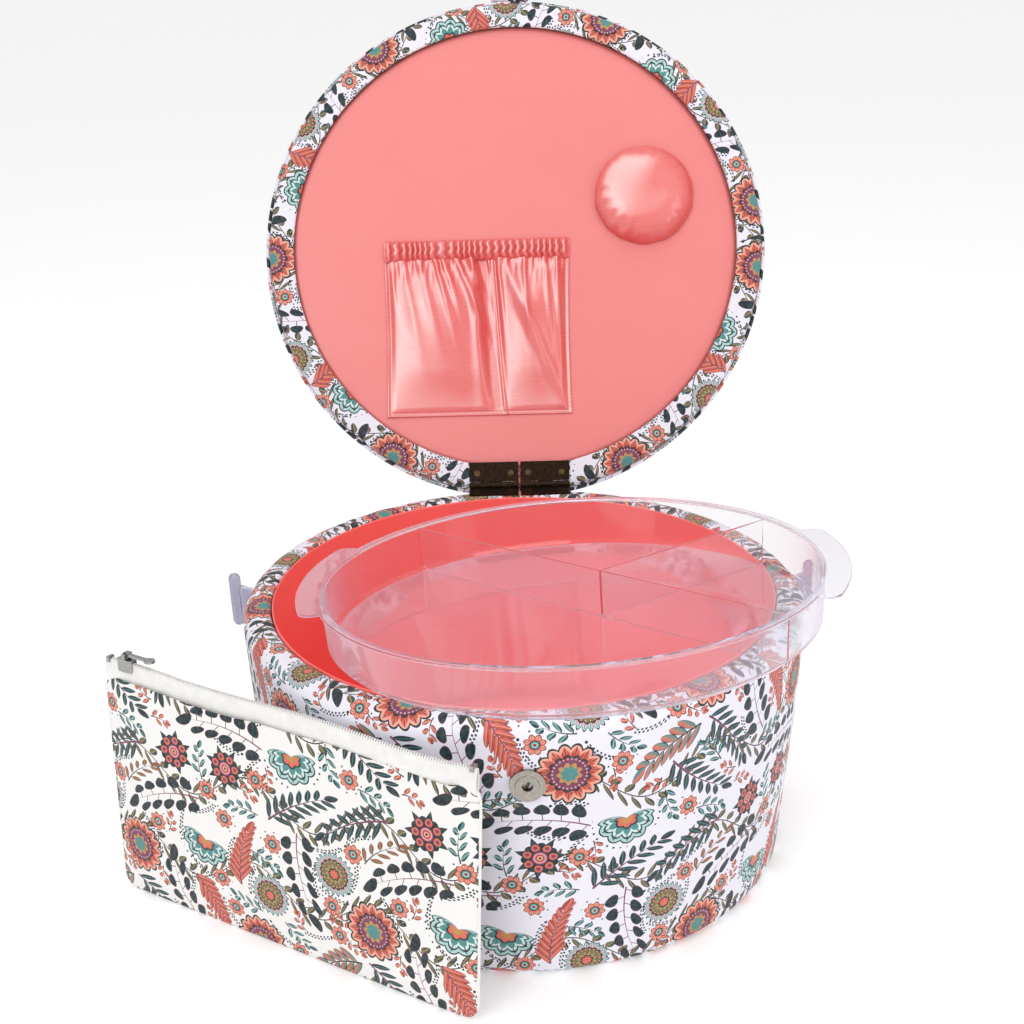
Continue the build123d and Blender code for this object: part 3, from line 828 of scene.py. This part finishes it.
def clear_plastic(name, tint, haze):
    """Clear moulded plastic, faintly scuffed and faintly hazed, with a painted highlight: a pale lavender
    diffuse layer mixed in where it is seen edge-on and, a little, on its upward rims.

    It lets its shadow through, and the light caught inside it, so that it stays bright.
    """
    g = Graph(name)
    scuffs = g.noise(500, 3, 0.6, (1, 0.08, 1))
    g.finish(Base_Color=tint, Transmission_Weight=1.0, IOR=1.42,
             Roughness=g.ramp(scuffs, 0.55, 0.8, 0.03, 0.13),
             Normal=g.bump(g.noise(22, 2) * 3 + scuffs * 0.15, 0.12 * MM, 0.4))
    # Painted highlight on the upward-facing rims above the tray's floor.
    upward = g.dot(g.read("TexCoord", "Normal"), tray_up) > 0.8
    rim_highlight_mask = upward & (g.dot(g.spot, tray_up) > tray_floor + 4 * MM)
    # Painted highlight: pale lavender diffuse where the plastic is seen edge-on, standing in for the bright
    # edges of clear plastic.
    edge_highlight_share = g.read("LayerWeight", "Facing") ** 3.5 * 0.75
    edge_highlight_layer = g.built(g.node("BsdfDiffuse"), 0, Color=rgb("dcd6ea"))
    share = g.math("MAXIMUM", edge_highlight_share, rim_highlight_mask * 0.08 + haze)
    body = g.mix_shader(share, Value(g, g.shader.outputs[0]), edge_highlight_layer)
    caught = g.math("MAXIMUM", g.read("LightPath", "Transmission Depth") > 8,
                    g.read("LightPath", "Glossy Depth") > 1)
    through = g.built(g.node("BsdfTransparent"), 0, Color=(0.94, 0.94, 0.97, 1))
    lets_light = g.math("MAXIMUM", g.read("LightPath", "Is Shadow Ray"), caught)
    g.feed(g.output.inputs["Surface"], g.mix_shader(lets_light, body, through))
    return g.material


def fibreboard(name):
    g = Graph(name)
    fibres = g.noise(700, 4, 0.65, (1, 1, 0.2))
    base = g.mix(fibres, rgb("8c8172"), rgb("b3a896"))
    base = g.mix(g.ramp(g.noise(2200, 2), 0.68, 0.74, 0.0, 0.7), base, rgb("4d463d"))
    return g.finish(Base_Color=base, Roughness=0.92, Normal=g.bump(fibres, 0.1 * MM))


def knit_tape(name):
    """Warp-knitted zip tape: fine ribs along it and a soft, matt face."""
    g = Graph(name)
    x, _, z = g.split(g.spot)
    knit = g.wave(z, 0.8 * MM) + g.wave(x, 0.6 * MM) * 0.6
    base = g.mix(g.ramp(g.noise(150), 0.3, 0.7, 0.0, 0.5), rgb("f2f1ee"), rgb("dcdad6"))
    return g.finish(Base_Color=base, Roughness=0.85, Sheen_Weight=0.25, Normal=g.bump(knit, 0.06 * MM, 0.6))


def nylon(name):
    g = Graph(name)
    streaks = g.noise(900, 2)
    base = g.mix(g.ramp(streaks, 0.3, 0.7, 0.0, 0.3), rgb("f4f3f0"), rgb("d9d9d6"))
    return g.finish(Base_Color=base, Roughness=0.38, Subsurface_Weight=0.1, Subsurface_Radius=(MM, MM, MM),
                    Normal=g.bump(streaks, 0.03 * MM, 0.4))


def thread(name):
    g = Graph(name)
    twist = g.noise(4000, 1, 0.5, (1, 0.3, 0.3))
    base = g.mix(g.ramp(twist, 0.35, 0.65, 0.0, 0.5), rgb("f5928b"), rgb("e0706a"))
    return g.finish(Base_Color=base, Roughness=0.6, Normal=g.bump(twist, 0.05 * MM))


def ferrite(name):
    g = Graph(name)
    grain = g.noise(1400, 4)
    return g.finish(Base_Color=g.mix(grain, rgb("2b2b2d"), rgb("454548")), Roughness=0.7, Metallic=0.3,
                    Normal=g.bump(grain, 0.05 * MM))


# ---------- Printed cloth: a repeat of flowers, leaf branches and a trailing vine ----------

repeats_round, repeat_height = 6, 150 * MM
cloth_repeat = np.array([TAU * cloth_radius / repeats_round, repeat_height]) / MM
ink = "152a2e"
pine = "1a4042"
teal = "4c8a88"
aqua = "a9cfcb"
frost = "cfe2df"
coral_ink = "d96a58"
peach = "eaa48e"
rust = "a8452f"
plum = "7c3a58"
pink = "dd95a2"
gold = "c08c4c"
olive = "75683f"
sand = "a89062"
bark = "4a3526"


def flower(reach, rings, beads, fan=0.7):
    """Sizes of a flower in mm. fan is the share of a turn that it spreads to each side: 0.5 or more is all.

    rings, from the outside in: (petals, turn, radius, notch depth, roundness, colour).
    beads: (count, ring radius, bead radius, outer colour, inner colour).
    """
    return SimpleNamespace(reach=reach, rings=rings, beads=beads, fan=fan)


def dot(radius, colour):
    return 0, 0.0, radius, 0.0, 1.0, colour


def branch(colours, **sizes):
    """Sizes of a leafy branch in mm. Its length is its leaf pairs times their spacing.

    slant is how far a leaf leans forward for its reach, stalk its bare part, taper the loss towards the
    tip, near and far the shape of a leaf's two ends. colours: the leaf's two fills, the lines and the vein.
    """
    usual = dict(slant=0.8, stalk=0.1, taper=0.35, near=0.75, far=0.8, line=0.25, stem=0.3)
    shape = SimpleNamespace(**{**usual, **sizes})
    shape.length = shape.pairs * shape.spacing
    shape.colours = colours
    return shape


flowers = {
    "feature": flower(17, [
        (15, 0.5, 17.0, 0.15, 2.0, ink), (15, 0.5, 15.8, 0.17, 2.0, peach),
        (15, 0.5, 14.2, 0.22, 1.6, coral_ink), (30, 0.0, 12.6, 0.34, 1.2, rust),
        (13, 0.5, 10.6, 0.16, 2.0, ink), (13, 0.5, 9.5, 0.2, 2.0, plum),
        (9, 0.0, 6.3, 0.3, 1.5, gold), (8, 0.5, 4.4, 0.25, 2.0, teal)], (26, 8.2, 0.5, pink, aqua)),
    "fan": flower(16, [
        (11, 0.5, 15.4, 0.13, 2.0, ink), (11, 0.5, 14.6, 0.15, 2.0, aqua), (11, 0.5, 12.8, 0.2, 2.0, pine),
        (11, 0.5, 11.6, 0.22, 2.0, frost), (11, 0.5, 9.8, 0.3, 2.0, teal), (7, 0.5, 6.6, 0.2, 2.0, ink),
        (7, 0.5, 5.6, 0.25, 2.0, coral_ink), (5, 0.5, 3.2, 0.2, 2.0, gold)],
        (30, 17.6, 0.62, ink, ink), fan=0.36),
    "round": flower(13, [
        (22, 0.5, 12.6, 0.2, 1.5, ink), (22, 0.5, 11.8, 0.22, 1.5, aqua), (22, 0.0, 10.4, 0.28, 1.4, pink),
        (16, 0.5, 8.9, 0.12, 2.0, ink), (16, 0.5, 8.1, 0.14, 2.0, olive), (12, 0.0, 6.0, 0.4, 1.0, sand),
        (8, 0.5, 3.7, 0.2, 2.0, ink), (8, 0.5, 2.8, 0.3, 2.0, coral_ink)], (20, 7.1, 0.4, peach, peach)),
    "cluster": flower(13, [
        (7, 0.5, 13.2, 0.62, 0.8, ink), (7, 0.5, 11.4, 0.68, 0.85, pine), (7, 0.0, 9.4, 0.3, 2.0, ink),
        dot(4.0, plum), dot(3.3, pink), dot(2.3, rust), dot(1.5, peach), dot(0.7, ink)],
        (7, 6.6, 2.1, coral_ink, plum)),
    "star": flower(11.5, [
        (5, 0.5, 11.4, 0.55, 1.5, ink), (5, 0.5, 9.8, 0.6, 1.6, pine), (5, 0.0, 9.2, 0.62, 1.1, rust),
        (5, 0.0, 7.8, 0.66, 1.2, peach), (5, 0.5, 5.2, 0.3, 2.0, ink), (5, 0.5, 4.2, 0.35, 2.0, plum),
        dot(2.3, gold), dot(1.0, ink)], (10, 3.0, 0.35, peach, peach)),
    "rosette": flower(6, [
        (8, 0.5, 5.8, 0.25, 1.5, rust), (8, 0.5, 5.0, 0.3, 1.6, peach), (8, 0.0, 4.0, 0.3, 1.5, coral_ink),
        dot(2.6, ink), dot(2.1, teal), dot(1.4, aqua), dot(0.9, rust), dot(0.4, ink)],
        (8, 7.4, 0.5, ink, ink)),
}
branches = {
    "leafy": branch((ink, pine, plum, teal), pairs=7, spacing=5.8, reach=10.0, width=2.75, taper=0.45,
                    bend=0.005, near=0.7, line=0.16, stem=0.5),
    "hearts": branch((ink, ink, plum, pine), pairs=5, spacing=8.8, reach=11.0, width=4.0, slant=0.4,
                     stalk=3.4, taper=0.25, bend=-0.007, near=0.42, far=0.7, line=0.12, stem=0.35),
    "feather": branch((coral_ink, rust, plum, peach), pairs=8, spacing=4.2, reach=8.5, width=2.0, slant=1.1,
                      taper=0.55, bend=0.009, near=0.35, far=0.5, line=0.28, stem=0.6),
    "plume": branch((teal, coral_ink, ink, gold), pairs=6, spacing=5.4, reach=9.5, width=2.5, slant=0.9,
                    taper=0.4, bend=-0.01, near=0.5, far=0.55, stem=0.6),
    "twig": branch((olive, rust, bark, sand), pairs=4, spacing=6.2, reach=6.6, width=2.3, stalk=0.6,
                   bend=0.014, stem=0.32),
    "sprig": branch((pine, teal, ink, aqua), pairs=3, spacing=5.6, reach=5.8, width=2.2, stalk=0.4,
                    bend=-0.016),
    "sprout": branch((rust, coral_ink, bark, peach), pairs=2, spacing=4.6, reach=4.6, width=1.9, slant=0.7,
                     stalk=0.3, taper=0.3, bend=0.02),
    "beads": branch((ink, ink, ink, ink), pairs=8, spacing=2.1, reach=1.35, width=0.7, slant=0.0, stalk=0.35,
                    taper=0.0, bend=0.026, near=0.5, far=0.5, line=0.0, stem=0.0),
}


def discs_of(name):
    """The discs, (x, y, radius) in mm, that a motif covers. A branch runs from its own origin along x."""
    if name in flowers:
        return np.array([[0, 0, flowers[name].reach]])
    shape = branches[name]
    length = shape.length + shape.reach * 0.8
    radius = shape.reach * 0.88
    count = max(2, math.ceil(length / radius))
    x = np.linspace(radius * 0.7, length - radius * 0.5, count)
    size = radius * (1 - 0.6 * shape.taper * (x / length) ** 2)
    return np.stack([x, shape.bend * x ** 2, size], -1)


def turned_discs(discs, angle, mirror):
    """Centres of discs turned to each of several angles, of shape (angles, discs, 2)."""
    x, y = discs[:, 0], discs[:, 1] * mirror
    c, s = np.cos(angle)[:, None], np.sin(angle)[:, None]
    return np.stack([x * c - y * s, x * s + y * c], -1)


def lay_out(names, gap, seed, taken):
    """Place each motif of names in the repeat, as snug as its gap allows. Returns the placed motifs."""
    chance = np.random.default_rng(seed)
    placed = []
    tries, flower_tilt, far = 6000, 0.7, 40.0
    for name in names:
        discs = discs_of(name)
        centre = chance.random((tries, 2)) * cloth_repeat
        angle = chance.random(tries) * TAU
        if name in flowers:
            angle = (angle / TAU - 0.5) * 2 * flower_tilt
        mirror = chance.choice([-1, 1])
        spots = turned_discs(discs, angle, mirror) + centre[:, None, :]
        clearance = np.full(tries, far)
        alive = np.arange(tries)
        for spot_x, spot_y, size in taken:
            away = np.abs(spots[alive] - [spot_x, spot_y]) % cloth_repeat
            away = np.minimum(away, cloth_repeat - away)
            free = (np.hypot(away[..., 0], away[..., 1]) - discs[:, 2] - size).min(1)
            clearance[alive] = np.minimum(clearance[alive], free)
            alive = alive[free > gap]
        if len(alive) == 0:
            continue
        best = int(alive[np.argmin(clearance[alive])])
        for (x, y), size in zip(spots[best], discs[:, 2]):
            taken.append((x % cloth_repeat[0], y % cloth_repeat[1], size))
        placed.append((name, centre[best], angle[best], mirror))
    return placed


taken_discs = []
main_motifs = lay_out(
    ["feature", "hearts", "leafy", "fan", "feature", "hearts", "round", "leafy", "fan", "cluster", "hearts",
     "plume", "leafy", "feather", "round", "cluster", "hearts", "leafy", "feather", "star", "plume", "leafy",
     "cluster", "star", "feather", "hearts", "star", "plume", "star", "feather"] + ["rosette"] * 12,
    gap=0.3, seed=7, taken=taken_discs)
overlap = 2.2
taken_discs = [(x, y, size - overlap) for x, y, size in taken_discs]
small_motifs = lay_out(["twig", "sprig"] * 12 + ["sprout", "beads"] * 20, gap=0.3, seed=8, taken=taken_discs)


def owner_map(motifs):
    """For each small cell of the repeat, the nearest motif as (x, y, angle, mirror, kind).

    A flower's kind is its number plus a half; a branch's kind is the same, but negative.
    """
    cell = 0.8
    count = np.ceil(cloth_repeat / cell).astype(int)
    middles = [(np.arange(n) + 0.5) * size / n for n, size in zip(count, cloth_repeat)]
    x, y = np.meshgrid(*middles, indexing="ij")
    nearest = np.full(x.shape, np.inf)
    chosen = np.zeros((*x.shape, 5))
    for name, spot, angle, mirror in motifs:
        discs = discs_of(name)
        centres = turned_discs(discs, np.array([angle]), mirror)[0] + spot
        if name in flowers:
            kind = list(flowers).index(name) + 0.5
        else:
            kind = -(list(branches).index(name) + 0.5)
        for shift in [np.array([i, j]) * cloth_repeat for i in (-1, 0, 1) for j in (-1, 0, 1)]:
            for (disc_x, disc_y), size in zip(centres + shift, discs[:, 2]):
                away = np.hypot(x - disc_x, y - disc_y) - size
                closer_here = away < nearest
                nearest[closer_here] = away[closer_here]
                chosen[closer_here] = (*(spot + shift), angle, mirror, kind)
    return chosen


owners = {"main_motif": owner_map(main_motifs), "small_motif": owner_map(small_motifs)}


def stamp(thing, layer):
    """Give each face its nearest motif: its corners keep their places in the motif's frame, and its kind."""
    mesh = thing.data
    flat = np.empty(len(mesh.loops) * 2, np.float32)
    mesh.uv_layers["cloth"].data.foreach_get("uv", flat)
    flat = flat.reshape(-1, 2).astype(float) / MM
    starts = np.empty(len(mesh.polygons), np.int32)
    totals = np.empty(len(mesh.polygons), np.int32)
    mesh.polygons.foreach_get("loop_start", starts)
    mesh.polygons.foreach_get("loop_total", totals)
    centre = np.add.reduceat(flat, starts, axis=0) / totals[:, None]
    tile = np.floor(centre / cloth_repeat)
    cell = ((centre / cloth_repeat - tile) * owners[layer].shape[:2]).astype(int)
    face = np.repeat(np.arange(len(centre)), totals)
    own = owners[layer][cell[:, 0], cell[:, 1]][face]
    local = flat - tile[face] * cloth_repeat - own[:, :2]
    c, s = np.cos(own[:, 2]), np.sin(own[:, 2])
    x = local[:, 0] * c + local[:, 1] * s
    y = (local[:, 1] * c - local[:, 0] * s) * own[:, 3]
    values = np.stack([x, y, own[:, 4]], -1).astype(np.float32)
    mesh.attributes.new(layer, "FLOAT_VECTOR", "CORNER").data.foreach_set("vector", values.ravel())


def table(g, kind, rows):
    """What belongs to a kind, read from a stepped ramp of up to four numbers: as a colour and as numbers."""
    node = g.node("ValToRGB")
    stops = node.color_ramp
    stops.interpolation = "CONSTANT"
    for k, row in enumerate(rows):
        stop = stops.elements[0] if k == 0 else stops.elements.new(k / len(rows))
        stop.color = (*row, 0, 0, 0, 0)[:4]
    stops.elements.remove(stops.elements[-1])
    g.feed(node.inputs[0], kind / len(rows))
    colour = Value(g, node.outputs[0])
    return colour, [*g.split(colour), Value(g, node.outputs[1])]


def fraction(value):
    return value.graph.math("FRACT", value)


def clamp(value):
    g = value.graph
    return g.math("MINIMUM", g.math("MAXIMUM", value, 0.0), 1.0)


# A ramp holds numbers from 0 to 1, so a flower's sizes are stored as shares of these.
most_petals, widest, roundest = 40, 20, 4
ring_count = len(flowers["feature"].rings)


def flower_layer(g, x, y, kind, ground):
    """Colour of the flower kinds over a ground, in the motif's own frame."""
    kinds = list(flowers.values())
    radius = g.math("SQRT", x * x + y * y)
    turn = g.math("ARCTAN2", x, y) / TAU
    _, (fan, *_) = table(g, kind, [(k.fan,) for k in kinds])
    swell = g.math("MINIMUM", (fan - abs(turn)) * 9, 1.0)
    colour = ground
    for ring in range(ring_count):
        rows = [k.rings[ring] for k in kinds]
        _, (petals, size, depth, roundness) = table(
            g, kind, [(n / most_petals, r / widest, d, p / roundest) for n, _, r, d, p, _ in rows])
        ring_colour, (*_, phase) = table(g, kind, [rgb(c, phase) for _, phase, _, _, _, c in rows])
        scallop = abs(fraction(turn * petals * most_petals + phase) - 0.5) * 2
        edge = size * widest * (1 - depth * scallop ** (roundness * roundest)) * swell
        colour = g.mix(radius < edge, colour, ring_colour)
        if ring == 1:
            vein = (scallop < 0.12) & (radius < edge * 0.94) & (radius > edge * 0.66)
    colour = g.mix(vein * 0.75, colour, rgb(ink))
    beads = [k.beads for k in kinds]
    _, (count, ring_radius, bead, _) = table(
        g, kind, [(n / most_petals, r / widest, b / roundest) for n, r, b, _, _ in beads])
    sideways = (fraction(turn * count * most_petals + 0.5) - 0.5) * radius * TAU / (count * most_petals)
    outward = radius - ring_radius * widest
    away = g.math("SQRT", sideways * sideways + outward * outward)
    for share, column in ((1, 3), (0.5, 4)):
        bead_colour, _ = table(g, kind, [rgb(row[column]) for row in beads])
        colour = g.mix(away < bead * (roundest * share) * swell, colour, bead_colour)
    return colour


def leaf_outline(t, shape):
    """Half width of a leaf at the share t of its length."""
    return t ** shape.near * (1 - t) ** shape.far * 1.8 * shape.width


def branch_layer(g, x, y, shape, colours, ground):
    """Colour of a leafy branch along x over a ground. shape holds numbers or looked-up values.

    A shape without a length is a vine: it runs straight on, with no taper and no leaf at its tip.
    """
    line_colour, fill, other, vein = colours
    vine = shape.length is None
    off = y if vine else y - x * x * shape.bend
    reach_y = abs(off)
    lower = off < 0
    along = x - reach_y * shape.slant + lower * shape.spacing * 0.5
    in_pair = fraction(along / shape.spacing)
    across = abs(in_pair - 0.5) * shape.spacing
    leaf, on_branch, on_stem = shape.reach, 1.0, reach_y < shape.stem
    if not vine:
        share = along / shape.length
        leaf = shape.reach * (1 - shape.taper * share)
        on_branch = (along > 0) & (along < shape.length)
        on_stem = (x > -1.5) & (x < shape.length + 1) & (reach_y < shape.stem * (1.2 - share))
    t = clamp((reach_y - shape.stalk) / (leaf - shape.stalk))
    half = leaf_outline(t, shape)
    stalks = (across < 0.25) & (reach_y < shape.stalk + 0.4) & on_branch
    colour = g.mix(on_stem, ground, line_colour)
    colour = g.mix(stalks, colour, line_colour)
    colour = g.mix((across < half * (1 + shape.line)) & on_branch, colour, line_colour)
    tint = g.mix((in_pair > 0.5) * 0.65 + t * 0.35, fill, other)
    colour = g.mix((across < half) & on_branch, colour, tint)
    colour = g.mix((across < 0.2) & (half > 0.5) & on_branch, colour, vein)
    if vine:
        return colour
    tip = leaf_outline(clamp((x - shape.length + 1) / (shape.reach * 0.8)), shape)
    colour = g.mix(reach_y < tip * (1 + shape.line), colour, line_colour)
    return g.mix(reach_y < tip, colour, g.mix(lower, fill, other))


# A branch's sizes are stored as shares of a span, from a lowest value up.
spans = dict(length=(0, 100), spacing=(0, 10), reach=(0, 20), width=(0, 5),
             slant=(0, 2), stalk=(0, 5), taper=(0, 1), bend=(-0.05, 0.1),
             near=(0, 1), far=(0, 1), line=(0, 1), stem=(0, 1))


def branch_tables(g, kind):
    """Shape and colours of whichever branch kind is looked up."""
    kinds = list(branches.values())
    shape = SimpleNamespace()
    for start in range(0, len(spans), 4):
        part = list(spans.items())[start:start + 4]
        rows = [[(getattr(k, name) - low) / span for name, (low, span) in part] for k in kinds]
        for (name, (low, span)), value in zip(part, table(g, kind, rows)[1]):
            setattr(shape, name, value * span + low)
    fill, other, line_colour, vein = [table(g, kind, [rgb(k.colours[c]) for k in kinds])[0] for c in range(4)]
    return shape, (line_colour, fill, other, vein)


endless_vine = branch((), pairs=22, spacing=cloth_repeat[0] / 22, reach=7.2, width=2.4, slant=0.7, stalk=0.6,
                      stem=0.34)
endless_vine.length = None


def print_material(name):
    """Printed satin-weave cotton: the drawn motifs, the weave, a little sheen and slightly uneven ink."""
    g = Graph(name)
    ground = g.read("ObjectInfo", "Color")
    u, v, _ = g.split(g.read("UVMap", 0, uv_map="cloth"))
    u, v = u / MM, v / MM
    vine_count, swing = 3, 10
    meander = g.math("SINE", u * (TAU * 2 / cloth_repeat[0])) * swing
    lane = fraction((v - meander) * (vine_count / cloth_repeat[1])) - 0.5
    vine_colours = (rgb("3c3026"), rgb(olive), rgb(pine), rgb(sand))
    colour = branch_layer(g, u, lane * (cloth_repeat[1] / vine_count), endless_vine, vine_colours, ground)
    x, y, kind = g.split(g.read("Attribute", "Vector", attribute_name="small_motif"))
    colour = branch_layer(g, x, y, *branch_tables(g, -kind), colour)
    x, y, kind = g.split(g.read("Attribute", "Vector", attribute_name="main_motif"))
    on_flower = flower_layer(g, x, y, kind, colour)
    on_branch = branch_layer(g, x, y, *branch_tables(g, -kind), colour)
    colour = g.mix(kind > 0, on_branch, on_flower)
    colour = g.mix(g.ramp(g.noise(500), 0.35, 0.8, 0.0, 0.07), colour, ground)
    yarn = 0.42
    slub = g.noise(1500, 2)
    return g.finish(Base_Color=colour, Roughness=g.ramp(slub, 0.3, 0.7, 0.44, 0.58), Sheen_Weight=0.04,
                    Specular_IOR_Level=0.25,
                    Normal=g.bump(g.wave(u, yarn) * g.wave(v, yarn) + slub * 0.5, 0.05 * MM, 0.5))


# ---------- Pieces on their bodies ----------

def dress(thing, material):
    thing.data.materials.clear()
    thing.data.materials.append(material)
    return thing


print_cloth = print_material("printed_cotton")
lilac_ground = rgb("e9e6f0")
white_ground = rgb("f0eeec")


def printed(thing, ground=lilac_ground):
    for layer in owners:
        stamp(thing, layer)
    thing.color = ground
    return dress(thing, print_cloth)


# Each satin's colours run from a painted shade colour to a painted highlight colour, and its last number sets
# how strongly they are painted. The pocket, elastic and pincushion get the strongest painted highlights and
# shade on their folds.
coral = satin("coral_satin", ("e06a68", "ea7f7d", "f29c98"), 0.42, 0.35)
coral_gloss_painted_light = satin("coral_satin_gloss_painted_light", ("da4c4a", "ea7876", "fcc8c4"), 0.24, 0.85)
# Painted bounce light: the wall lining and floor pad get a deeper, more saturated copy of the lid's coral
# satin, standing in for the colour the satin bounces onto itself inside the basket.
coral_bounce_deepened = satin("coral_satin_lining", ("f9645e", "fc716b", "fd958f"), 0.36, 0.5)
coral_thread = thread("coral_thread")
tape = knit_tape("zip_tape")

pieces = [
    ("basket", "body_cover", "print_cloth", printed(body_cover_object())),
    ("basket", "wall_lining", "coral_satin", dress(wall_lining_object(), coral_bounce_deepened)),
    ("basket", "floor_pad", "coral_satin", dress(floor_pad_object(), coral_bounce_deepened)),
    ("basket", "base_cover", "print_cloth", printed(base_cover_object())),
    ("lid", "lid_cover", "print_cloth", printed(lid_cover_object())),
    ("lid", "lid_piping", "print_cloth", printed(lid_cord_object())),
    ("lid", "lid_lining", "coral_satin", dress(lid_panel_object(), coral)),
    ("lid", "lid_pocket", "coral_satin", dress(pocket_object(), coral_gloss_painted_light)),
    ("lid", "pocket_elastic", "coral_satin", dress(elastic_object(), coral_gloss_painted_light)),
    ("lid", None, "coral_satin", dress(pocket_stitches_object(), coral_thread)),
    ("lid", "pincushion", "coral_satin", dress(pincushion_object(), coral_gloss_painted_light)),
    ("tab", "closure_tab", "print_cloth", printed(tab_object())),
    ("pouch", "pouch_front", "print_cloth",
     printed(pouch_panel_object("pouch_print_front", -1, (0, 0)), white_ground)),
    ("pouch", "pouch_back", "print_cloth",
     printed(pouch_panel_object("pouch_print_back", 1, (0.08, 0.05)), white_ground)),
    ("pouch", "zip_tape_front", "zip_tape", dress(tape_object("zip_tape_front_band", -1), tape)),
    ("pouch", "zip_tape_back", "zip_tape", dress(tape_object("zip_tape_back_band", 1), tape)),
    ("pouch", "zip_coil", "zip_nylon", dress(coil_object(), nylon("zip_nylon"))),
    ("pouch", None, "zip_tape", dress(side_seam_object("pouch_seam_left", front_low.x, -1), tape)),
    ("pouch", None, "zip_tape", dress(side_seam_object("pouch_seam_right", front_high.x, 1), tape)),
]
for body, node, slot, thing in pieces:
    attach(thing, body)
    if node:
        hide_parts(node)

finishes = {
    fibreboard("fibreboard"): ["base_board", "wall_board", "lid_board", "lid_ring"],
    clear_plastic("clear_plastic", (0.985, 0.985, 0.992, 1), 0.02): ["tray"],
    clear_plastic("clear_plastic_thick", rgb("a6a6ba"), 0.14): ["handle_post_left", "handle_post_right"],
    metal("nickel", "9d978f", "c4bfb8", 0.26, 0.5): [
        "snap_socket", "tab_snap", "snap_prong_plate", "snap_backing"],
    metal("antique_brass", "2c211a", "57422d", 0.3, 0.3): [
        f"hinge_{half}_leaf_{side}" for half in ("lower", "upper") for side in ("left", "right")],
    metal("antique_brass_rubbed", "5a4632", "8d7350", 0.28, 0.5): [
        "hinge_pin_left", "hinge_pin_right", "hinge_lower_rivets", "hinge_upper_rivets"],
    metal("zinc_steel", "a9acb0", "c9cbcd", 0.35, 0.5): ["post_screws", "post_washers"],
    metal("zip_silver", "9b9a99", "c9c8c7", 0.2, 0.5): ["zip_slider", "zip_pull", "zip_stops"],
    ferrite("ferrite_magnet"): ["snap_magnet"],
}
for material, names in finishes.items():
    for name in names:
        dress(frame["nodes"][name], material)


# ---------- Floor, lights and camera ----------

def add_stage(thing):
    bpy.context.scene.collection.objects.link(thing)


def softbox(name, place, aim, size, power):
    light = bpy.data.lights.new(name, "AREA")
    light.shape = "RECTANGLE"
    light.size, light.size_y = size
    light.energy = power
    lamp = bpy.data.objects.new(name, light)
    lamp.location = place
    lamp.rotation_euler = (Vector(aim) - Vector(place)).to_track_quat("-Z", "Y").to_euler()
    add_stage(lamp)


def floor_object():
    """A pale floor wide enough that its far edge stays out of the picture."""
    g = Graph("pale_floor")
    base = g.mix(g.noise(8, 2), (0.9, 0.9, 0.9, 1), (0.92, 0.92, 0.92, 1))
    g.finish(Base_Color=base, Roughness=0.6, Emission_Color=(1, 1, 1, 1), Emission_Strength=0.24)
    size, drop = 30, -0.2 * MM
    corners = [(-size, -size, drop), (size, -size, drop), (size, size, drop), (-size, size, drop)]
    dress(new_object("floor", corners, [[0, 1, 2, 3]]), g.material)


def shift_lens(camera, mark, name, amount):
    """Shift the lens, as a cropped picture does, only while the camera stands at its mark.

    A camera moved round the object looks straight at it, so it needs no shift.
    """
    driver = camera.data.driver_add(name).driver
    gap = driver.variables.new()
    gap.name = "gap"
    gap.type = "LOC_DIFF"
    gap.targets[0].id = camera
    gap.targets[1].id = mark
    driver.type = "SCRIPTED"
    driver.expression = f"{amount} * (gap < {MM})"


def camera_object(target, distance, azimuth, elevation, roll):
    """The photo's camera, angles in degrees, with the lens shift of its crop."""
    azimuth, elevation, roll = [math.radians(angle) for angle in (azimuth, elevation, roll)]
    away = Vector((math.sin(azimuth) * math.cos(elevation), -math.cos(azimuth) * math.cos(elevation),
                   math.sin(elevation)))
    place = target + away * distance
    lens = bpy.data.cameras.new("camera")
    lens.lens = 52.76
    lens.sensor_width = 36
    lens.clip_start = 10 * MM
    camera = bpy.data.objects.new("camera", lens)
    camera.matrix_world = (Matrix.Translation(place) @ away.to_track_quat("Z", "Y").to_matrix().to_4x4()
                           @ Matrix.Rotation(roll, 4, "Z"))
    bpy.context.scene.collection.objects.link(camera)
    bpy.context.scene.camera = camera
    mark = bpy.data.objects.new("camera_place", None)
    mark.location = place
    add_stage(mark)
    shift_lens(camera, mark, "shift_x", 0.0232)
    shift_lens(camera, mark, "shift_y", 0.1932)


floor_object()
softbox("key", (-0.9, -1.3, 1.5), aim=(0, 0, 0.15), size=(0.8, 0.8), power=10)
softbox("fill", (1.4, -1.0, 0.9), aim=(0, 0, 0.15), size=(0.5, 1.2), power=5)
softbox("top", (0.2, 0.1, 1.9), aim=(0, 0, 0.1), size=(0.9, 0.9), power=5)
camera_object(Vector((-0.0209, 0, 0.0747)), distance=0.8568, azimuth=1.40, elevation=29.25, roll=-1.90)

world = bpy.data.worlds.new("studio")
world.use_nodes = True
background = world.node_tree.nodes["Background"]
background.inputs["Color"].default_value = (1, 1, 1, 1)
background.inputs["Strength"].default_value = 0.72
bpy.context.scene.world = world
bpy.context.scene.view_settings.view_transform = "Standard"
